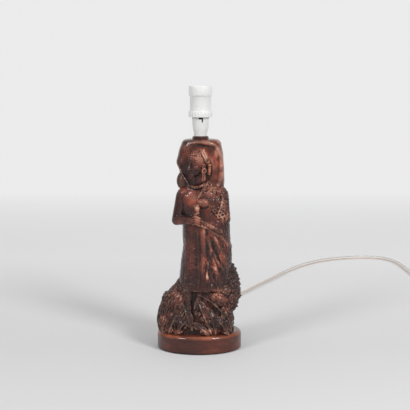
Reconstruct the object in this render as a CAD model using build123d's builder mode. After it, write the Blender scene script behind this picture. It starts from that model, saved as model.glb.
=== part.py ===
"""Figural table lamp: a carved figure block on an oval plinth, a hollow threaded
rod down its middle, a small screw lampholder on top, and a clear flat twin lead
that leaves the back of the plinth. Millimetres, +Z up, front of the figure -Y.
The origin is the centre of the holder axis on the surface the lamp stands on."""

import math
import os

from build123d import *

os.makedirs("parts", exist_ok=True)

# ---------------------------------------------------------------- driving sizes
running_gap = 0.05  # round pieces that turn or slide in each other
loose_gap = 0.2  # drilled holes round rods and leads

# plinth and felt
plinth_width = 96.0
plinth_depth = 71.0
plinth_height = 19.5
plinth_shift = -1.5  # the plinth sits a little to the figure's right-hand side
plinth_edge = 4.5  # rounded top edge
felt_thickness = 1.5
felt_inset = 3.0
recess_radius = 13.0  # round recess under the plinth, for the rod's nut
recess_depth = 14.5

# carved block
figure_height = 218.7
hood_width = 52.4
hood_depth = 35.0
hood_bevel = 6.5
head_width = 23.4
robe_width = 54.0
arm_radius = 6.8
screw_offset = 20.0
screw_pilot_depth = 15.0
leaf_slope = 24  # degrees

# rod and what it clamps
rod_radius = 5.0
rod_bore_radius = 4.0
rod_below_web = 4.6  # rod left standing out under the plinth's web
nut_flats = 14.0
nut_height = 3.0
washer_radius = 10.0
washer_thickness = 1.0
collar_radius = 9.2
collar_height = 3.3

# lampholder
cap_neck_radius = 7.3
cap_radius = 10.6
cap_height = 18.4
cap_thread_height = 6.5
cap_inner_radius = 8.2
spigot_radius = 9.6
spigot_height = 6.6
skirt_height = 37.0
skirt_seam = 0.25
skirt_radius = 12.0
skirt_inner_radius = 8.8
knurl_radius = 13.25
knurl_height = 7.0
knurl_count = 24
knurl_depth = 0.8
crown_radius = 13.0
crown_height = 13.3
flute_count = 12
insert_flange = 2.5
insert_depth = 5.5
shell_radius = 7.0  # inside of the lamp thread
shell_wall = 0.35
shell_height = 17.5
shell_neck_height = 5.0
shell_neck_radius = 6.3
latch_slot_width = 4.0
latch_slot_height = 5.0
latch_slot_gap = 1.3

# lead
lead_radius = 3.4  # a clear flat twin lead, 6.8 wide
lead_flats = 8
core_radius = 1.1
core_spacing = 3.2
exit_height = 7.0
sleeve_length = 22.0
sleeve_root_radius = 5.2
sleeve_tip_radius = 4.3
sleeve_seat = 1.6  # depth of the sleeve's socket in the plinth
coil_radius = 41.0
coil_half_turns = 8
coil_pitch = 7.7
coil_tie_thickness = 0.8
coil_tie_width = 8.0

# switch on the lead
switch_length = 62.0
switch_width = 24.0
switch_base_height = 6.5
switch_cover_height = 9.0
switch_wall = 1.8
switch_draft = 8  # degrees
switch_stand = 0.2
rocker_radius = 8.6
rocker_width = 9.6
rocker_throw = 14.0  # degrees from off to on
rocker_gap = 0.3
rocker_pin_radius = 1.2

# plug
plug_length = 34.0
plug_width = 26.0
plug_height = 13.7
plug_relief_length = 16.0
pin_radius = 2.0
pin_length = 19.0
pin_spacing = 18.6

# ------------------------------------------------------------- derived heights
base_z = felt_thickness + plinth_height
figure_top = base_z + figure_height
holder_z = figure_top + collar_height
web_z = felt_thickness + recess_depth  # underside of the plinth's web
rod_bottom = web_z - rod_below_web
rod_top = holder_z + cap_thread_height
plinth_back = plinth_depth / 2
sleeve_tip_y = plinth_back + sleeve_length
floor_z = lead_radius + 0.1  # centre of a lead that lies on the table


# ================================================================= small helpers
def limb(start, end, start_radius, end_radius, mode=Mode.ADD):
    """A rounded form between two balls, such as a forearm, a fold or a bush."""
    along = Vector(*end) - Vector(*start)
    reach = along.length
    direction = along.normalized()
    sideways = Vector(1, 0, 0) if abs(direction.Y) > 0.7 else Vector(0, 1, 0)
    lean = math.asin((start_radius - end_radius) / reach)
    with BuildSketch(Plane(origin=start, x_dir=direction, z_dir=direction.cross(sideways))) as profile:
        with BuildLine():
            near = ThreePointArc(
                (-start_radius, 0),
                (-start_radius * math.sqrt(0.5), start_radius * math.sqrt(0.5)),
                (start_radius * math.sin(lean), start_radius * math.cos(lean)),
            )
            side = Line(
                near @ 1,
                (reach + end_radius * math.sin(lean), end_radius * math.cos(lean)),
            )
            far_turn = (math.pi / 2 - lean) / 2
            far = ThreePointArc(
                side @ 1,
                (reach + end_radius * math.cos(far_turn), end_radius * math.sin(far_turn)),
                (reach + end_radius, 0),
            )
            Line(far @ 1, near @ 0)
        make_face()
    revolve(profile.sketch, axis=Axis(start, direction), mode=mode)


def leaf(root, tip, facing, width, thickness, widest=0.42):
    """A pointed form with flat sloping sides on the surface behind it: a leaf, a fold or a tooth."""
    width, thickness = width * unit, thickness * unit
    along = Vector(*tip) - Vector(*root)
    outward = Vector(*facing)
    outward = (outward - along * (outward.dot(along) / along.length**2)).normalized()
    with BuildSketch(Plane(origin=root, x_dir=along, z_dir=outward)) as outline:
        with BuildLine():
            Polyline(
                (0, width * 0.16),
                (along.length * widest, width / 2),
                (along.length, 0),
                (along.length * widest, -width / 2),
                (0, -width * 0.16),
                close=True,
            )
        make_face()
    extrude(outline.sketch, amount=thickness, taper=leaf_slope)
    extrude(outline.sketch, amount=-thickness)


def block(width, depth, corner, centre, foot, top, draw_in):
    """A rounded oblong between two heights over the plinth, drawn in evenly as it rises."""
    with BuildSketch(Plane.XY.offset(base_z + foot)) as section:
        with Locations((centre[0] * unit, centre[1] * unit)):
            RectangleRounded(width, depth, corner)
    extrude(section.sketch, amount=top - foot, taper=math.degrees(math.atan2(draw_in, top - foot)))


def bend_radii(points):
    """As large a radius at each corner as its two runs allow."""
    vectors = [Vector(*point) for point in points]
    radii = []
    for before, here, after in zip(vectors, vectors[1:], vectors[2:]):
        turn = (here - before).get_angle(after - here)
        shorter = min((here - before).length, (after - here).length)
        radii.append(0.45 * shorter / math.tan(math.radians(turn) / 2))
    return radii


def lead_section(radius=lead_radius):
    """The lead's section, drawn with flats so that its long bends stay light."""
    RegularPolygon(radius, lead_flats, rotation=180 / lead_flats)


def lead_tube(points, name, radius=lead_radius):
    """Sweeps the lead's section along straight runs joined by tangent arcs."""
    radii = bend_radii(points)
    with BuildPart() as tube:
        with BuildLine() as route:
            FilletPolyline(*points, radius=radii)
        with BuildSketch(Plane(origin=route.line @ 0, z_dir=route.line % 0)) as section:
            lead_section(radius)
        sweep()
    length = route.wire().length
    expected = section.sketch.area * length
    print(name, "length", round(length, 1), "least bend radius", round(min(radii), 1),
          "radii", [round(r) for r in radii], "volume ratio", round(tube.part.volume / expected, 4))
    return tube


# ======================================================================== plinth
with BuildPart() as plinth:
    with BuildSketch(Plane.XY.offset(felt_thickness)):
        with Locations((plinth_shift, 0)):
            Ellipse(plinth_width / 2, plinth_depth / 2)
    extrude(amount=plinth_height)
    fillet(plinth.edges().group_by(Axis.Z)[-1], plinth_edge)
    with BuildSketch(Plane.XY.offset(felt_thickness)):
        Circle(recess_radius)
    extrude(amount=recess_depth, mode=Mode.SUBTRACT)
    with BuildSketch(Plane.XY.offset(felt_thickness)):
        Circle(rod_radius + loose_gap)
        with Locations((-screw_offset, 0), (screw_offset, 0)):
            Circle(2 + running_gap)
    extrude(amount=plinth_height, mode=Mode.SUBTRACT)
    for side in (-1, 1):
        screw_mouth = Plane(origin=(side * screw_offset, 0, felt_thickness), z_dir=(0, 0, 1))
        with BuildSketch(screw_mouth):
            Circle(4 + running_gap)
        with BuildSketch(screw_mouth.offset(2)):
            Circle(2 + running_gap)
        loft(mode=Mode.SUBTRACT)
    with BuildSketch(Plane(origin=(0, 0, exit_height), z_dir=(0, 1, 0))):
        Circle(lead_radius + loose_gap)
    extrude(amount=plinth_depth, mode=Mode.SUBTRACT)
    with BuildSketch(Plane(origin=(0, plinth_back - sleeve_seat, exit_height), z_dir=(0, 1, 0))):
        Circle(sleeve_root_radius + running_gap)
    extrude(amount=sleeve_seat + 1, mode=Mode.SUBTRACT)
plinth.part.label = "plinth"
export_step(plinth.part, "parts/plinth.step")

with BuildPart() as felt_pad:
    with BuildSketch():
        with Locations((plinth_shift, 0)):
            Ellipse(plinth_width / 2 - felt_inset, plinth_depth / 2 - felt_inset)
    extrude(amount=felt_thickness)
felt_pad.part.label = "felt_pad"
export_step(felt_pad.part, "parts/felt_pad.step")

with BuildPart() as plinth_screws:
    for side in (-1, 1):
        with BuildSketch(Plane.XZ) as screw_outline:
            with BuildLine():
                screw_x = side * screw_offset
                Polyline(
                    (screw_x, felt_thickness + 0.05),
                    (screw_x + 3.9, felt_thickness + 0.05),
                    (screw_x + 2, felt_thickness + 2),
                    (screw_x + 2, base_z + screw_pilot_depth - 4),
                    (screw_x, base_z + screw_pilot_depth - 0.5),
                    close=True,
                )
            make_face()
        revolve(axis=Axis((screw_x, 0, 0), (0, 0, 1)))
plinth_screws.part.label = "plinth_screws"
export_step(plinth_screws.part, "parts/plinth_screws.step")

# =================================================================== carved block
# places are typed for a block 218.7 high, in from its axis and up from the plinth's top; front is -Y
unit = figure_height / 218.7
hem_height = 48.6 * unit
waist_height = 122 * unit
chest_height = 143 * unit
shoulder_height = 157 * unit
hood_foot = 164 * unit
foot_spread = 37.0 * unit  # the carving's foot reaches this far to each side
head_turn = (-0.42, -0.34)  # the face looks to the viewer's left and a little forward


def at(x, y, height):
    """A place on the carving, scaled with it, its height taken from the plinth's top."""
    return (x * unit, y * unit, base_z + height * unit)


with BuildPart() as hood:
    # seen from the front the left flap hangs further out; a bevel runs round front and back
    with BuildSketch(Plane.XZ.offset(hood_depth / 2 - 2.2 * unit)):
        with BuildLine():
            Polyline(
                (-17 * unit, base_z + hood_foot),
                (-18 * unit, base_z + 172 * unit),
                (-hood_width / 2 - 0.6 * unit, base_z + 192 * unit),
                (-hood_width / 2 + 0.6 * unit, base_z + 199 * unit),
                (-hood_width / 2 + 5.4 * unit, base_z + 213 * unit),
                (-16 * unit, figure_top),
                (17.5 * unit, figure_top),
                (hood_width / 2 - 3.2 * unit, base_z + 213 * unit),
                (hood_width / 2 + 0.2 * unit, base_z + 192 * unit),
                (hood_width / 2 + 0.8 * unit, base_z + hood_foot),
                close=True,
            )
        make_face()
    extrude(amount=-hood_depth)
    chamfer(hood.faces().sort_by(Axis.Y)[0].edges() + hood.faces().sort_by(Axis.Y)[-1].edges(), hood_bevel)


with BuildPart() as carved_figure:
    # robe down to its hem, and the tree trunk above it behind the body
    block(robe_width + 3 * unit, 47.6 * unit, 21 * unit, (5.4, -1.5), hem_height, 86 * unit, unit)
    block(robe_width + unit, 45.2 * unit, 20 * unit, (6.9, -1.9), 86 * unit, waist_height + 6 * unit, unit)
    block(51 * unit, 36 * unit, 12 * unit, (2, 3), waist_height, hood_foot + 8 * unit, 2 * unit)

    # hood behind the head, made beforehand
    add(hood.part)
    # hollow under the hood's lip, where the head stands
    limb(at(2.6, -21, 175), at(3.4, -21, 193), 13 * unit, 13.4 * unit, mode=Mode.SUBTRACT)
    # rounded lobe behind the bare shoulder
    limb(at(-19.3, -3, 169), at(-19.3, -3, 176), 7.9 * unit, 7 * unit)

    # body under the shawl
    block(50 * unit, 38 * unit, 18.5 * unit, (4, -3.2), waist_height - 2 * unit, chest_height, -0.6 * unit)
    block(51 * unit, 35.6 * unit, 17 * unit, (2, -4.4), chest_height, shoulder_height, 1.8 * unit)
    block(47 * unit, 30 * unit, 14 * unit, (1.2, -5.2), shoulder_height, shoulder_height + 9 * unit, 8 * unit)

    # neck, head and hair
    limb(at(0, -10.5, 182), at(0.5, -9.5, 164), 6.6 * unit, 7.4 * unit)
    crown = Vector(*at(0.2, -13.6, 196))
    jaw = crown + Vector(12.4 * head_turn[0], 12.4 * head_turn[1], -10) * unit
    limb(tuple(crown), tuple(jaw), head_width / 2, 7.8 * unit)

    # foliage round the foot
    block(2 * foot_spread - 6 * unit, 49.6 * unit, 20 * unit, (-1, -1), 0, 20 * unit, 3 * unit)
    block(2 * foot_spread - 12 * unit, 43.6 * unit, 18 * unit, (0, -1), 20 * unit, hem_height + unit, 4 * unit)
    # bushes at both sides of the foot
    limb(at(-26.6, 0, 13), at(-24.4, 0, 31), 22.4 * unit, 20.6 * unit)
    limb(at(-23.8, 0.5, 30), at(-13.6, 1.6, 54), 20.2 * unit, 12 * unit)
    limb(at(24.6, 1, 41), at(23.4, 3, 62), 20.4 * unit, 17.6 * unit)
    limb(at(24, 0.4, 39), at(16.6, -0.3, 11), 19.8 * unit, 20.6 * unit)

    # bore for the rod
    with BuildSketch(Plane.XY.offset(base_z - 5)):
        Circle(rod_radius + loose_gap)
    extrude(amount=figure_height + 10, mode=Mode.SUBTRACT)

    # bare arm at the viewer's left, bent across the body to the fist and the vessel
    limb(at(-18.6, -8.4, 157), at(-25.8, -9.4, 131), arm_radius + 0.6 * unit, arm_radius - 0.6 * unit)
    limb(at(-25.8, -11.4, 128.6), at(-7, -24, 129.6), arm_radius - 1.2 * unit, arm_radius - 2.4 * unit)
    limb(at(-4, -25.4, 128), at(-4, -25.4, 133), 4.8 * unit, 4.6 * unit)
    limb(at(3.4, -22.6, 149.6), at(-2.6, -24.6, 146.6), 5.8 * unit, 3 * unit)

    # shawl over the other shoulder and arm, and the sash
    limb(at(8.5, -10.5, 163.5), at(20.6, -9.2, 157.6), 9 * unit, 10.4 * unit)
    limb(at(21, -8.9, 156.6), at(25.6, -8.6, 131), 10.1 * unit, 10.6 * unit)
    leaf(at(-1, -24.6, 128.6), at(28, -20, 114), (0.2, -1, 0.1), 9, 2.6, 0.45)

    # folds of the robe
    leaf(at(3.8, -24.2, 122), at(3.6, -25.2, 84), (0, -1, 0), 7, 2.2)
    leaf(at(8, -24.2, 114), at(17, -24.6, 64), (0.1, -1, 0), 9, 2.6)
    leaf(at(15, -23.8, 114), at(30, -19, 74), (0.4, -1, 0), 9, 2.8)
    leaf(at(26, -18.8, 116), at(33.6, -10.4, 88), (0.9, -0.8, 0), 9, 2.8)
    leaf(at(17, -24.8, 84), at(24, -23, 54), (0.25, -1, 0), 9, 2.6)
    leaf(at(-12.5, -21.4, 116), at(-15.5, -22.2, 52), (-0.4, -1, 0), 8, 2.4)

    # ragged edge of the right-hand bush
    for tooth in range(9):
        turn = math.radians(62 - 14 * tooth)
        reach = 18.4 if tooth > 3 else 17
        root = (23.6 + reach * math.cos(turn), 4 - 0.6 * tooth, 50 + 1.15 * reach * math.sin(turn))
        tip = (root[0] + 6.6 * math.cos(turn), root[1] - 0.5, root[2] + 6.6 * math.sin(turn))
        leaf(at(*root), at(*tip), (0, -1, 0), 7, 2.4, 0.2)

    # large leaves round the foot, and a leg-like stem between them
    limb(at(-14, -19.6, 49), at(-13.6, -25.4, 21), 5.8 * unit, 3.6 * unit)
    for root, tip, facing, width in (
        ((-31, -14, 29), (-42.5, -17.5, 1), (-0.6, -1, 0.3), 16),
        ((-40, -4, 25), (-47, -6, 1), (-1, -0.4, 0.2), 15),
        ((-21, -20.5, 36), (-9, -27.5, 7), (-0.1, -1, 0.2), 13),
        ((-9, -24.5, 23), (-28.5, -25.5, 1), (-0.2, -1, 0.35), 13),
        ((-4.5, -22, 40), (12, -29, 1.4), (0, -1, 0.2), 16),
        ((8, -23, 31), (17, -27.5, 2), (0.2, -1, 0.2), 13),
        ((12, -22.6, 24), (31, -24.4, 1.2), (0.3, -1, 0.35), 13),
        ((25, -18.6, 31), (34.6, -18, 1.4), (0.6, -1, 0.2), 14),
        ((33, -8, 27), (36.8, -9, 1.4), (1, -0.4, 0.2), 14),
    ):
        leaf(at(*root), at(*tip), facing, width, 3.6)
    for back_leaf in range(7):
        turn = math.radians(16 + 25 * back_leaf)
        leaf(
            at(-2 + 33 * math.cos(turn), 21.6 * math.sin(turn), 30 + 4 * (back_leaf % 2)),
            at(-2 + 39 * math.cos(turn), 27.2 * math.sin(turn), 1.4),
            (math.cos(turn), math.sin(turn), 0.25),
            16, 3.6,
        )

    # flat foot on the plinth, pilots for the two screws
    split(bisect_by=Plane.XY.offset(base_z), keep=Keep.TOP)
    with BuildSketch(Plane.XY.offset(base_z)):
        with Locations((-screw_offset, 0), (screw_offset, 0)):
            Circle(2 + running_gap)
    extrude(amount=screw_pilot_depth, mode=Mode.SUBTRACT)
carved_figure.part.label = "carved_figure"
export_step(carved_figure.part, "parts/carved_figure.step")

# ============================================================ rod, nut and collar
with BuildPart() as threaded_rod:
    with BuildSketch(Plane.XY.offset(rod_bottom)):
        Circle(rod_radius)
        Circle(rod_bore_radius, mode=Mode.SUBTRACT)
    extrude(amount=rod_top - rod_bottom)
threaded_rod.part.label = "threaded_rod"
export_step(threaded_rod.part, "parts/threaded_rod.step")

with BuildPart() as rod_washer:
    with BuildSketch(Plane.XY.offset(web_z - washer_thickness)):
        Circle(washer_radius)
        Circle(rod_radius + loose_gap, mode=Mode.SUBTRACT)
    extrude(amount=washer_thickness)
rod_washer.part.label = "rod_washer"
export_step(rod_washer.part, "parts/rod_washer.step")

with BuildPart() as rod_nut:
    with BuildSketch(Plane.XY.offset(web_z - washer_thickness - nut_height)):
        RegularPolygon(nut_flats / 2, 6, major_radius=False)
        Circle(rod_radius + running_gap, mode=Mode.SUBTRACT)
    extrude(amount=nut_height)
rod_nut.part.label = "rod_nut"
export_step(rod_nut.part, "parts/rod_nut.step")

with BuildPart() as neck_collar:
    with BuildSketch(Plane.XY.offset(figure_top)):
        Circle(collar_radius)
        Circle(rod_radius + loose_gap, mode=Mode.SUBTRACT)
    extrude(amount=collar_height)
    chamfer(neck_collar.edges().filter_by(GeomType.CIRCLE).group_by(Axis.Z)[-1].sort_by(SortBy.RADIUS)[-1], 0.9)
neck_collar.part.label = "neck_collar"
export_step(neck_collar.part, "parts/neck_collar.step")

# ===================================================================== lampholder
spigot_top = holder_z + cap_height + spigot_height
insert_top = spigot_top + insert_flange
skirt_bottom = holder_z + cap_height + skirt_seam
skirt_top = skirt_bottom + skirt_height

with BuildPart() as holder_cap:
    with BuildSketch(Plane.XZ):
        with BuildLine():
            neck = Polyline(
                (rod_radius + running_gap, holder_z),
                (cap_neck_radius, holder_z),
                (cap_neck_radius, holder_z + 3.2),
            )
            shoulder = ThreePointArc(
                neck @ 1,
                (cap_neck_radius + 1.3, holder_z + 5.4),
                (cap_neck_radius + 2.2, holder_z + 9),
            )
            rim = Line(shoulder @ 1, (cap_radius, holder_z + cap_height))
            Polyline(
                rim @ 1,
                (spigot_radius, holder_z + cap_height),
                (spigot_radius, spigot_top),
                (cap_inner_radius, spigot_top),
                (cap_inner_radius, holder_z + cap_thread_height + 6.5),
                (cap_inner_radius - 0.8, holder_z + cap_thread_height + 3),
                (rod_radius + running_gap, holder_z + cap_thread_height),
                (rod_radius + running_gap, holder_z),
            )
        make_face()
    revolve(axis=Axis.Z)
    # release slot of the locking tongue, an angle cut through the front of the wall
    slot_left = -latch_slot_width / 2
    slot_top = holder_z + cap_height
    with BuildSketch(Plane(origin=(0.2, 0, slot_top), x_dir=(1, 0, 0), z_dir=(0, -1, 0))):
        with BuildLine():
            Polyline(
                (slot_left, -latch_slot_gap - 0.4),
                (-slot_left - latch_slot_gap, -latch_slot_gap - 0.4),
                (-slot_left - latch_slot_gap, -latch_slot_height),
                (-slot_left, -latch_slot_height),
                (-slot_left, 0),
                (slot_left, 0),
                close=True,
            )
        make_face()
    extrude(amount=cap_radius + 1, mode=Mode.SUBTRACT)
holder_cap.part.label = "holder_cap"
export_step(holder_cap.part, "parts/holder_cap.step")

with BuildPart() as holder_insert:
    with BuildSketch(Plane.XY.offset(spigot_top)):
        Circle(spigot_radius - loose_gap)
    extrude(amount=insert_flange)
    with BuildSketch(Plane.XY.offset(spigot_top)):
        Circle(cap_inner_radius - 2 * loose_gap)
    extrude(amount=-insert_depth)
holder_insert.part.label = "holder_insert"
export_step(holder_insert.part, "parts/holder_insert.step")

with BuildPart() as screw_shell:
    with BuildSketch(Plane.XZ):
        with BuildLine():
            neck_top = insert_top + shell_neck_height
            shell_top = neck_top + shell_height
            outer = shell_radius + shell_wall
            Polyline(
                (shell_neck_radius, insert_top),
                (shell_neck_radius, neck_top),
                (shell_radius, neck_top),
                (shell_radius, shell_top),
                (outer + 0.7, shell_top),
                (outer + 0.7, shell_top - shell_wall),
                (outer, shell_top - 2 * shell_wall),
                (outer, neck_top - shell_wall),
                (shell_neck_radius + shell_wall, neck_top - shell_wall),
                (shell_neck_radius + shell_wall, insert_top),
                close=True,
            )
        make_face()
    revolve(axis=Axis.Z)
screw_shell.part.label = "screw_shell"
export_step(screw_shell.part, "parts/screw_shell.step")

with BuildPart() as centre_contact:
    with BuildSketch(Plane.XZ):
        with BuildLine():
            Polyline(
                (-4, insert_top),
                (2, insert_top),
                (4, insert_top + 1.5),
                (1.5, insert_top + 3.2),
                (-1.5, insert_top + 3.5),
                (-1.5, insert_top + 3.1),
                (1.3, insert_top + 2.8),
                (3.2, insert_top + 1.5),
                (1.8, insert_top + 0.4),
                (-4, insert_top + 0.4),
                close=True,
            )
        make_face()
    extrude(amount=2, both=True)
centre_contact.part.label = "centre_contact"
export_step(centre_contact.part, "parts/centre_contact.step")

with BuildPart() as holder_skirt:
    with BuildSketch(Plane.XZ):
        with BuildLine():
            knurl_top = skirt_bottom + knurl_height
            crown_bottom = skirt_top - crown_height
            Polyline(
                (spigot_radius + 0.1, skirt_bottom),
                (skirt_radius, skirt_bottom),
                (skirt_radius - 0.1, crown_bottom),
                (crown_radius - 0.2, crown_bottom + 0.7),
                (crown_radius, skirt_top - 0.5),
                (crown_radius - 0.5, skirt_top),
                (skirt_inner_radius + 0.9, skirt_top),
                (skirt_inner_radius, skirt_top - 1.2),
                (skirt_inner_radius, insert_top),
                (spigot_radius + 0.1, insert_top),
                close=True,
            )
        make_face()
    revolve(axis=Axis.Z)
    # toothed band round the foot, grip flutes round the crown
    with BuildSketch(Plane.XY.offset(skirt_bottom)):
        with BuildLine():
            tooth_points = []
            for tooth in range(2 * knurl_count):
                turn = math.pi * tooth / knurl_count
                reach = knurl_radius if tooth % 2 else knurl_radius - knurl_depth
                tooth_points.append((reach * math.cos(turn), reach * math.sin(turn)))
            Polyline(*tooth_points, close=True)
        make_face()
        Circle(skirt_radius - 0.5, mode=Mode.SUBTRACT)
    extrude(amount=knurl_height)
    with BuildSketch(Plane.XY.offset(crown_bottom)):
        with PolarLocations(crown_radius + 0.55, flute_count):
            Rectangle(1.9, 2.2)
    extrude(amount=crown_height - 3, mode=Mode.SUBTRACT)
holder_skirt.part.label = "holder_skirt"
export_step(holder_skirt.part, "parts/holder_skirt.step")

# terminals under the insert, their screws, and the two cores that reach them
terminal_x = 4.8
terminal_height = 5.0
insert_bottom = spigot_top - insert_depth
terminal_bottom = insert_bottom - terminal_height

with BuildPart() as terminals:
    with BuildSketch(Plane.XY.offset(terminal_bottom)):
        with Locations((-terminal_x, 0), (terminal_x, 0)):
            Rectangle(3.4, 4.4)
    extrude(amount=terminal_height)
terminals.part.label = "terminals"
export_step(terminals.part, "parts/terminals.step")

with BuildPart() as terminal_screws:
    for side in (-1, 1):
        with BuildSketch(Plane(origin=(side * terminal_x, -2.2, terminal_bottom + 2.5), z_dir=(0, -1, 0))):
            Circle(1.5)
        extrude(amount=1.4)
        with BuildSketch(Plane(origin=(side * terminal_x, -3.6, terminal_bottom + 2.5), z_dir=(0, -1, 0))):
            Rectangle(3.2, 0.5)
        extrude(amount=-0.5, mode=Mode.SUBTRACT)
terminal_screws.part.label = "terminal_screws"
export_step(terminal_screws.part, "parts/terminal_screws.step")

with BuildPart() as inner_cores:
    for side in (-1, 1):
        core_points = (
            (side * core_spacing / 2, 0, rod_top),
            (side * core_spacing / 2, 0, rod_top + 2.6),
            (side * terminal_x, 0, terminal_bottom - 2.6),
            (side * terminal_x, 0, terminal_bottom),
        )
        with BuildLine() as core_route:
            FilletPolyline(*core_points, radius=bend_radii(core_points))
        with BuildSketch(Plane(origin=core_route.line @ 0, z_dir=core_route.line % 0)):
            lead_section(core_radius)
        sweep()
inner_cores.part.label = "inner_cores"
export_step(inner_cores.part, "parts/inner_cores.step")

# ======================================================= lead inside and its exit
exit_bend = rod_bottom - exit_height - 0.4
with BuildPart() as inner_lead:
    with BuildLine() as inner_route:
        level = Line((0, plinth_back + 2, exit_height), (0, exit_bend, exit_height))
        bend = TangentArc(level @ 1, (0, 0, exit_height + exit_bend), tangent=(0, -1, 0))
        Line(bend @ 1, (0, 0, rod_top))
    with BuildSketch(Plane(origin=inner_route.line @ 0, z_dir=inner_route.line % 0)):
        lead_section()
    sweep()
inner_lead.part.label = "inner_lead"
export_step(inner_lead.part, "parts/inner_lead.step")

with BuildPart() as exit_sleeve:
    with BuildSketch(Plane.YZ) as sleeve_outline:
        with BuildLine():
            Polyline(
                (plinth_back - sleeve_seat, exit_height + lead_radius + loose_gap / 2),
                (plinth_back - sleeve_seat, exit_height + sleeve_root_radius),
                (plinth_back + 2.4, exit_height + sleeve_root_radius),
                (sleeve_tip_y - 0.6, exit_height + sleeve_tip_radius),
                (sleeve_tip_y, exit_height + sleeve_tip_radius - 0.5),
                (sleeve_tip_y, exit_height + lead_radius + loose_gap / 2),
                close=True,
            )
        make_face()
    revolve(axis=Axis((0, 0, exit_height), (0, 1, 0)))
exit_sleeve.part.label = "exit_sleeve"
export_step(exit_sleeve.part, "parts/exit_sleeve.step")

# =============================================================== lead on the table
switch_x = 328.0
switch_entry_y = 300.0
lead_entry_z = switch_stand + switch_base_height
lead_inset = 5.0  # how far the lead reaches into the switch
coil_centre = (374.0, 178.0)
coil_low_z = floor_z + coil_tie_thickness
coil_high_z = coil_low_z + coil_pitch
coil_start_x = coil_centre[0] - coil_radius
coil_start_y = coil_centre[1] + 2 * lead_radius

# points chosen by hand along the lead's path over the table
lead_route = (
    (0, plinth_back + 2, exit_height),
    (0, 64, exit_height),
    (1, 92, 4.6),
    (4, 126, floor_z),
    (14, 168, floor_z),
    (33, 208, floor_z),
    (56, 246, floor_z),
    (79, 290, floor_z),
    (104, 338, floor_z),
    (130, 388, floor_z),
    (158, 434, floor_z),
    (191, 470, floor_z),
    (230, 491, floor_z),
    (270, 501, floor_z),
    (300, 489, floor_z),
    (315, 456, floor_z),
    (318, 414, floor_z),
    (321, 373, floor_z),
    (326, 338, 4.6),
    (switch_x, 316, lead_entry_z),
    (switch_x, switch_entry_y - lead_inset, lead_entry_z),
)
cord_stretch = lead_tube(lead_route, "cord_stretch")
cord_stretch.part.label = "cord_stretch"
export_step(cord_stretch.part, "parts/cord_stretch.step")

switch_exit_y = switch_entry_y - switch_length
tail_route = (
    (switch_x, switch_exit_y + lead_inset, lead_entry_z),
    (switch_x, switch_exit_y - 14, lead_entry_z),
    (coil_start_x, coil_start_y + 18, coil_low_z),
    (coil_start_x, coil_start_y, coil_low_z),
)
cord_tail = lead_tube(tail_route, "cord_tail")
cord_tail.part.label = "cord_tail"
export_step(cord_tail.part, "parts/cord_tail.step")


def coil_place(half_turns):
    """Where the lead is after so many half turns: in, up a layer, and out again."""
    turn = math.pi * (1 + half_turns)
    radius = coil_radius - coil_pitch / 2 * min(half_turns, coil_half_turns - half_turns)
    climb = min(max(half_turns - coil_half_turns / 2 + 0.5, 0), 1)
    height = coil_low_z + (coil_high_z - coil_low_z) * climb
    return Vector(
        coil_centre[0] + radius * math.cos(turn),
        coil_centre[1] + radius * math.sin(turn),
        height,
    )


def coil_heading(half_turns):
    """Direction of travel there, level, and drawn in or out with the spiral."""
    turn = math.pi * (1 + half_turns)
    radius = coil_radius - coil_pitch / 2 * min(half_turns, coil_half_turns - half_turns)
    drift = coil_pitch / (2 * math.pi) * (-1 if half_turns < coil_half_turns / 2 else 1)
    if half_turns in (0, coil_half_turns):
        drift = 0
    outward = Vector(math.cos(turn), math.sin(turn), 0)
    forward = Vector(-math.sin(turn), math.cos(turn), 0)
    return (forward * radius + outward * drift).normalized()


def biarc(start, start_heading, end, end_heading):
    """Two arcs that leave start and reach end along the given headings."""
    chord = end - start
    spread = 2 * (1 - start_heading.dot(end_heading))
    lean = chord.dot(start_heading + end_heading)
    arm = (-lean + math.sqrt(lean**2 + spread * chord.dot(chord))) / spread
    first_corner = start + start_heading * arm
    last_corner = end - end_heading * arm
    middle = (first_corner + last_corner) / 2
    TangentArc(start, middle, tangent=start_heading)
    TangentArc(middle, end, tangent=last_corner - first_corner)


with BuildPart() as cord_coil:
    stops = [0] + [step + 0.5 for step in range(coil_half_turns)] + [coil_half_turns]
    with BuildLine() as coil_route:
        Line((coil_start_x, coil_start_y, coil_low_z), coil_place(0))
        for here, there in zip(stops, stops[1:]):
            biarc(coil_place(here), coil_heading(here), coil_place(there), coil_heading(there))
        coil_end = coil_place(coil_half_turns)
        coil_tip = coil_end - Vector(0, 2 * lead_radius, 0)
        Line(coil_end, coil_tip)
    with BuildSketch(Plane(origin=coil_route.line @ 0, z_dir=coil_route.line % 0)) as coil_section:
        lead_section()
    sweep()
cord_coil.part.label = "cord_coil"
export_step(cord_coil.part, "parts/cord_coil.step")

coil_length = coil_route.wire().length
samples = [coil_route.wire() @ (step / 600) for step in range(601)]
skip = int(2.2 * math.pi * 20 / coil_length * 600)
least = min(
    (samples[i] - samples[j]).length
    for i in range(0, 601, 2)
    for j in range(i + skip, 601)
)
print("cord_coil length", round(coil_length, 1), "least gap to itself", round(least - 2 * lead_radius, 2),
      "volume ratio", round(cord_coil.part.volume / (coil_section.sketch.area * coil_length), 4))

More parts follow.
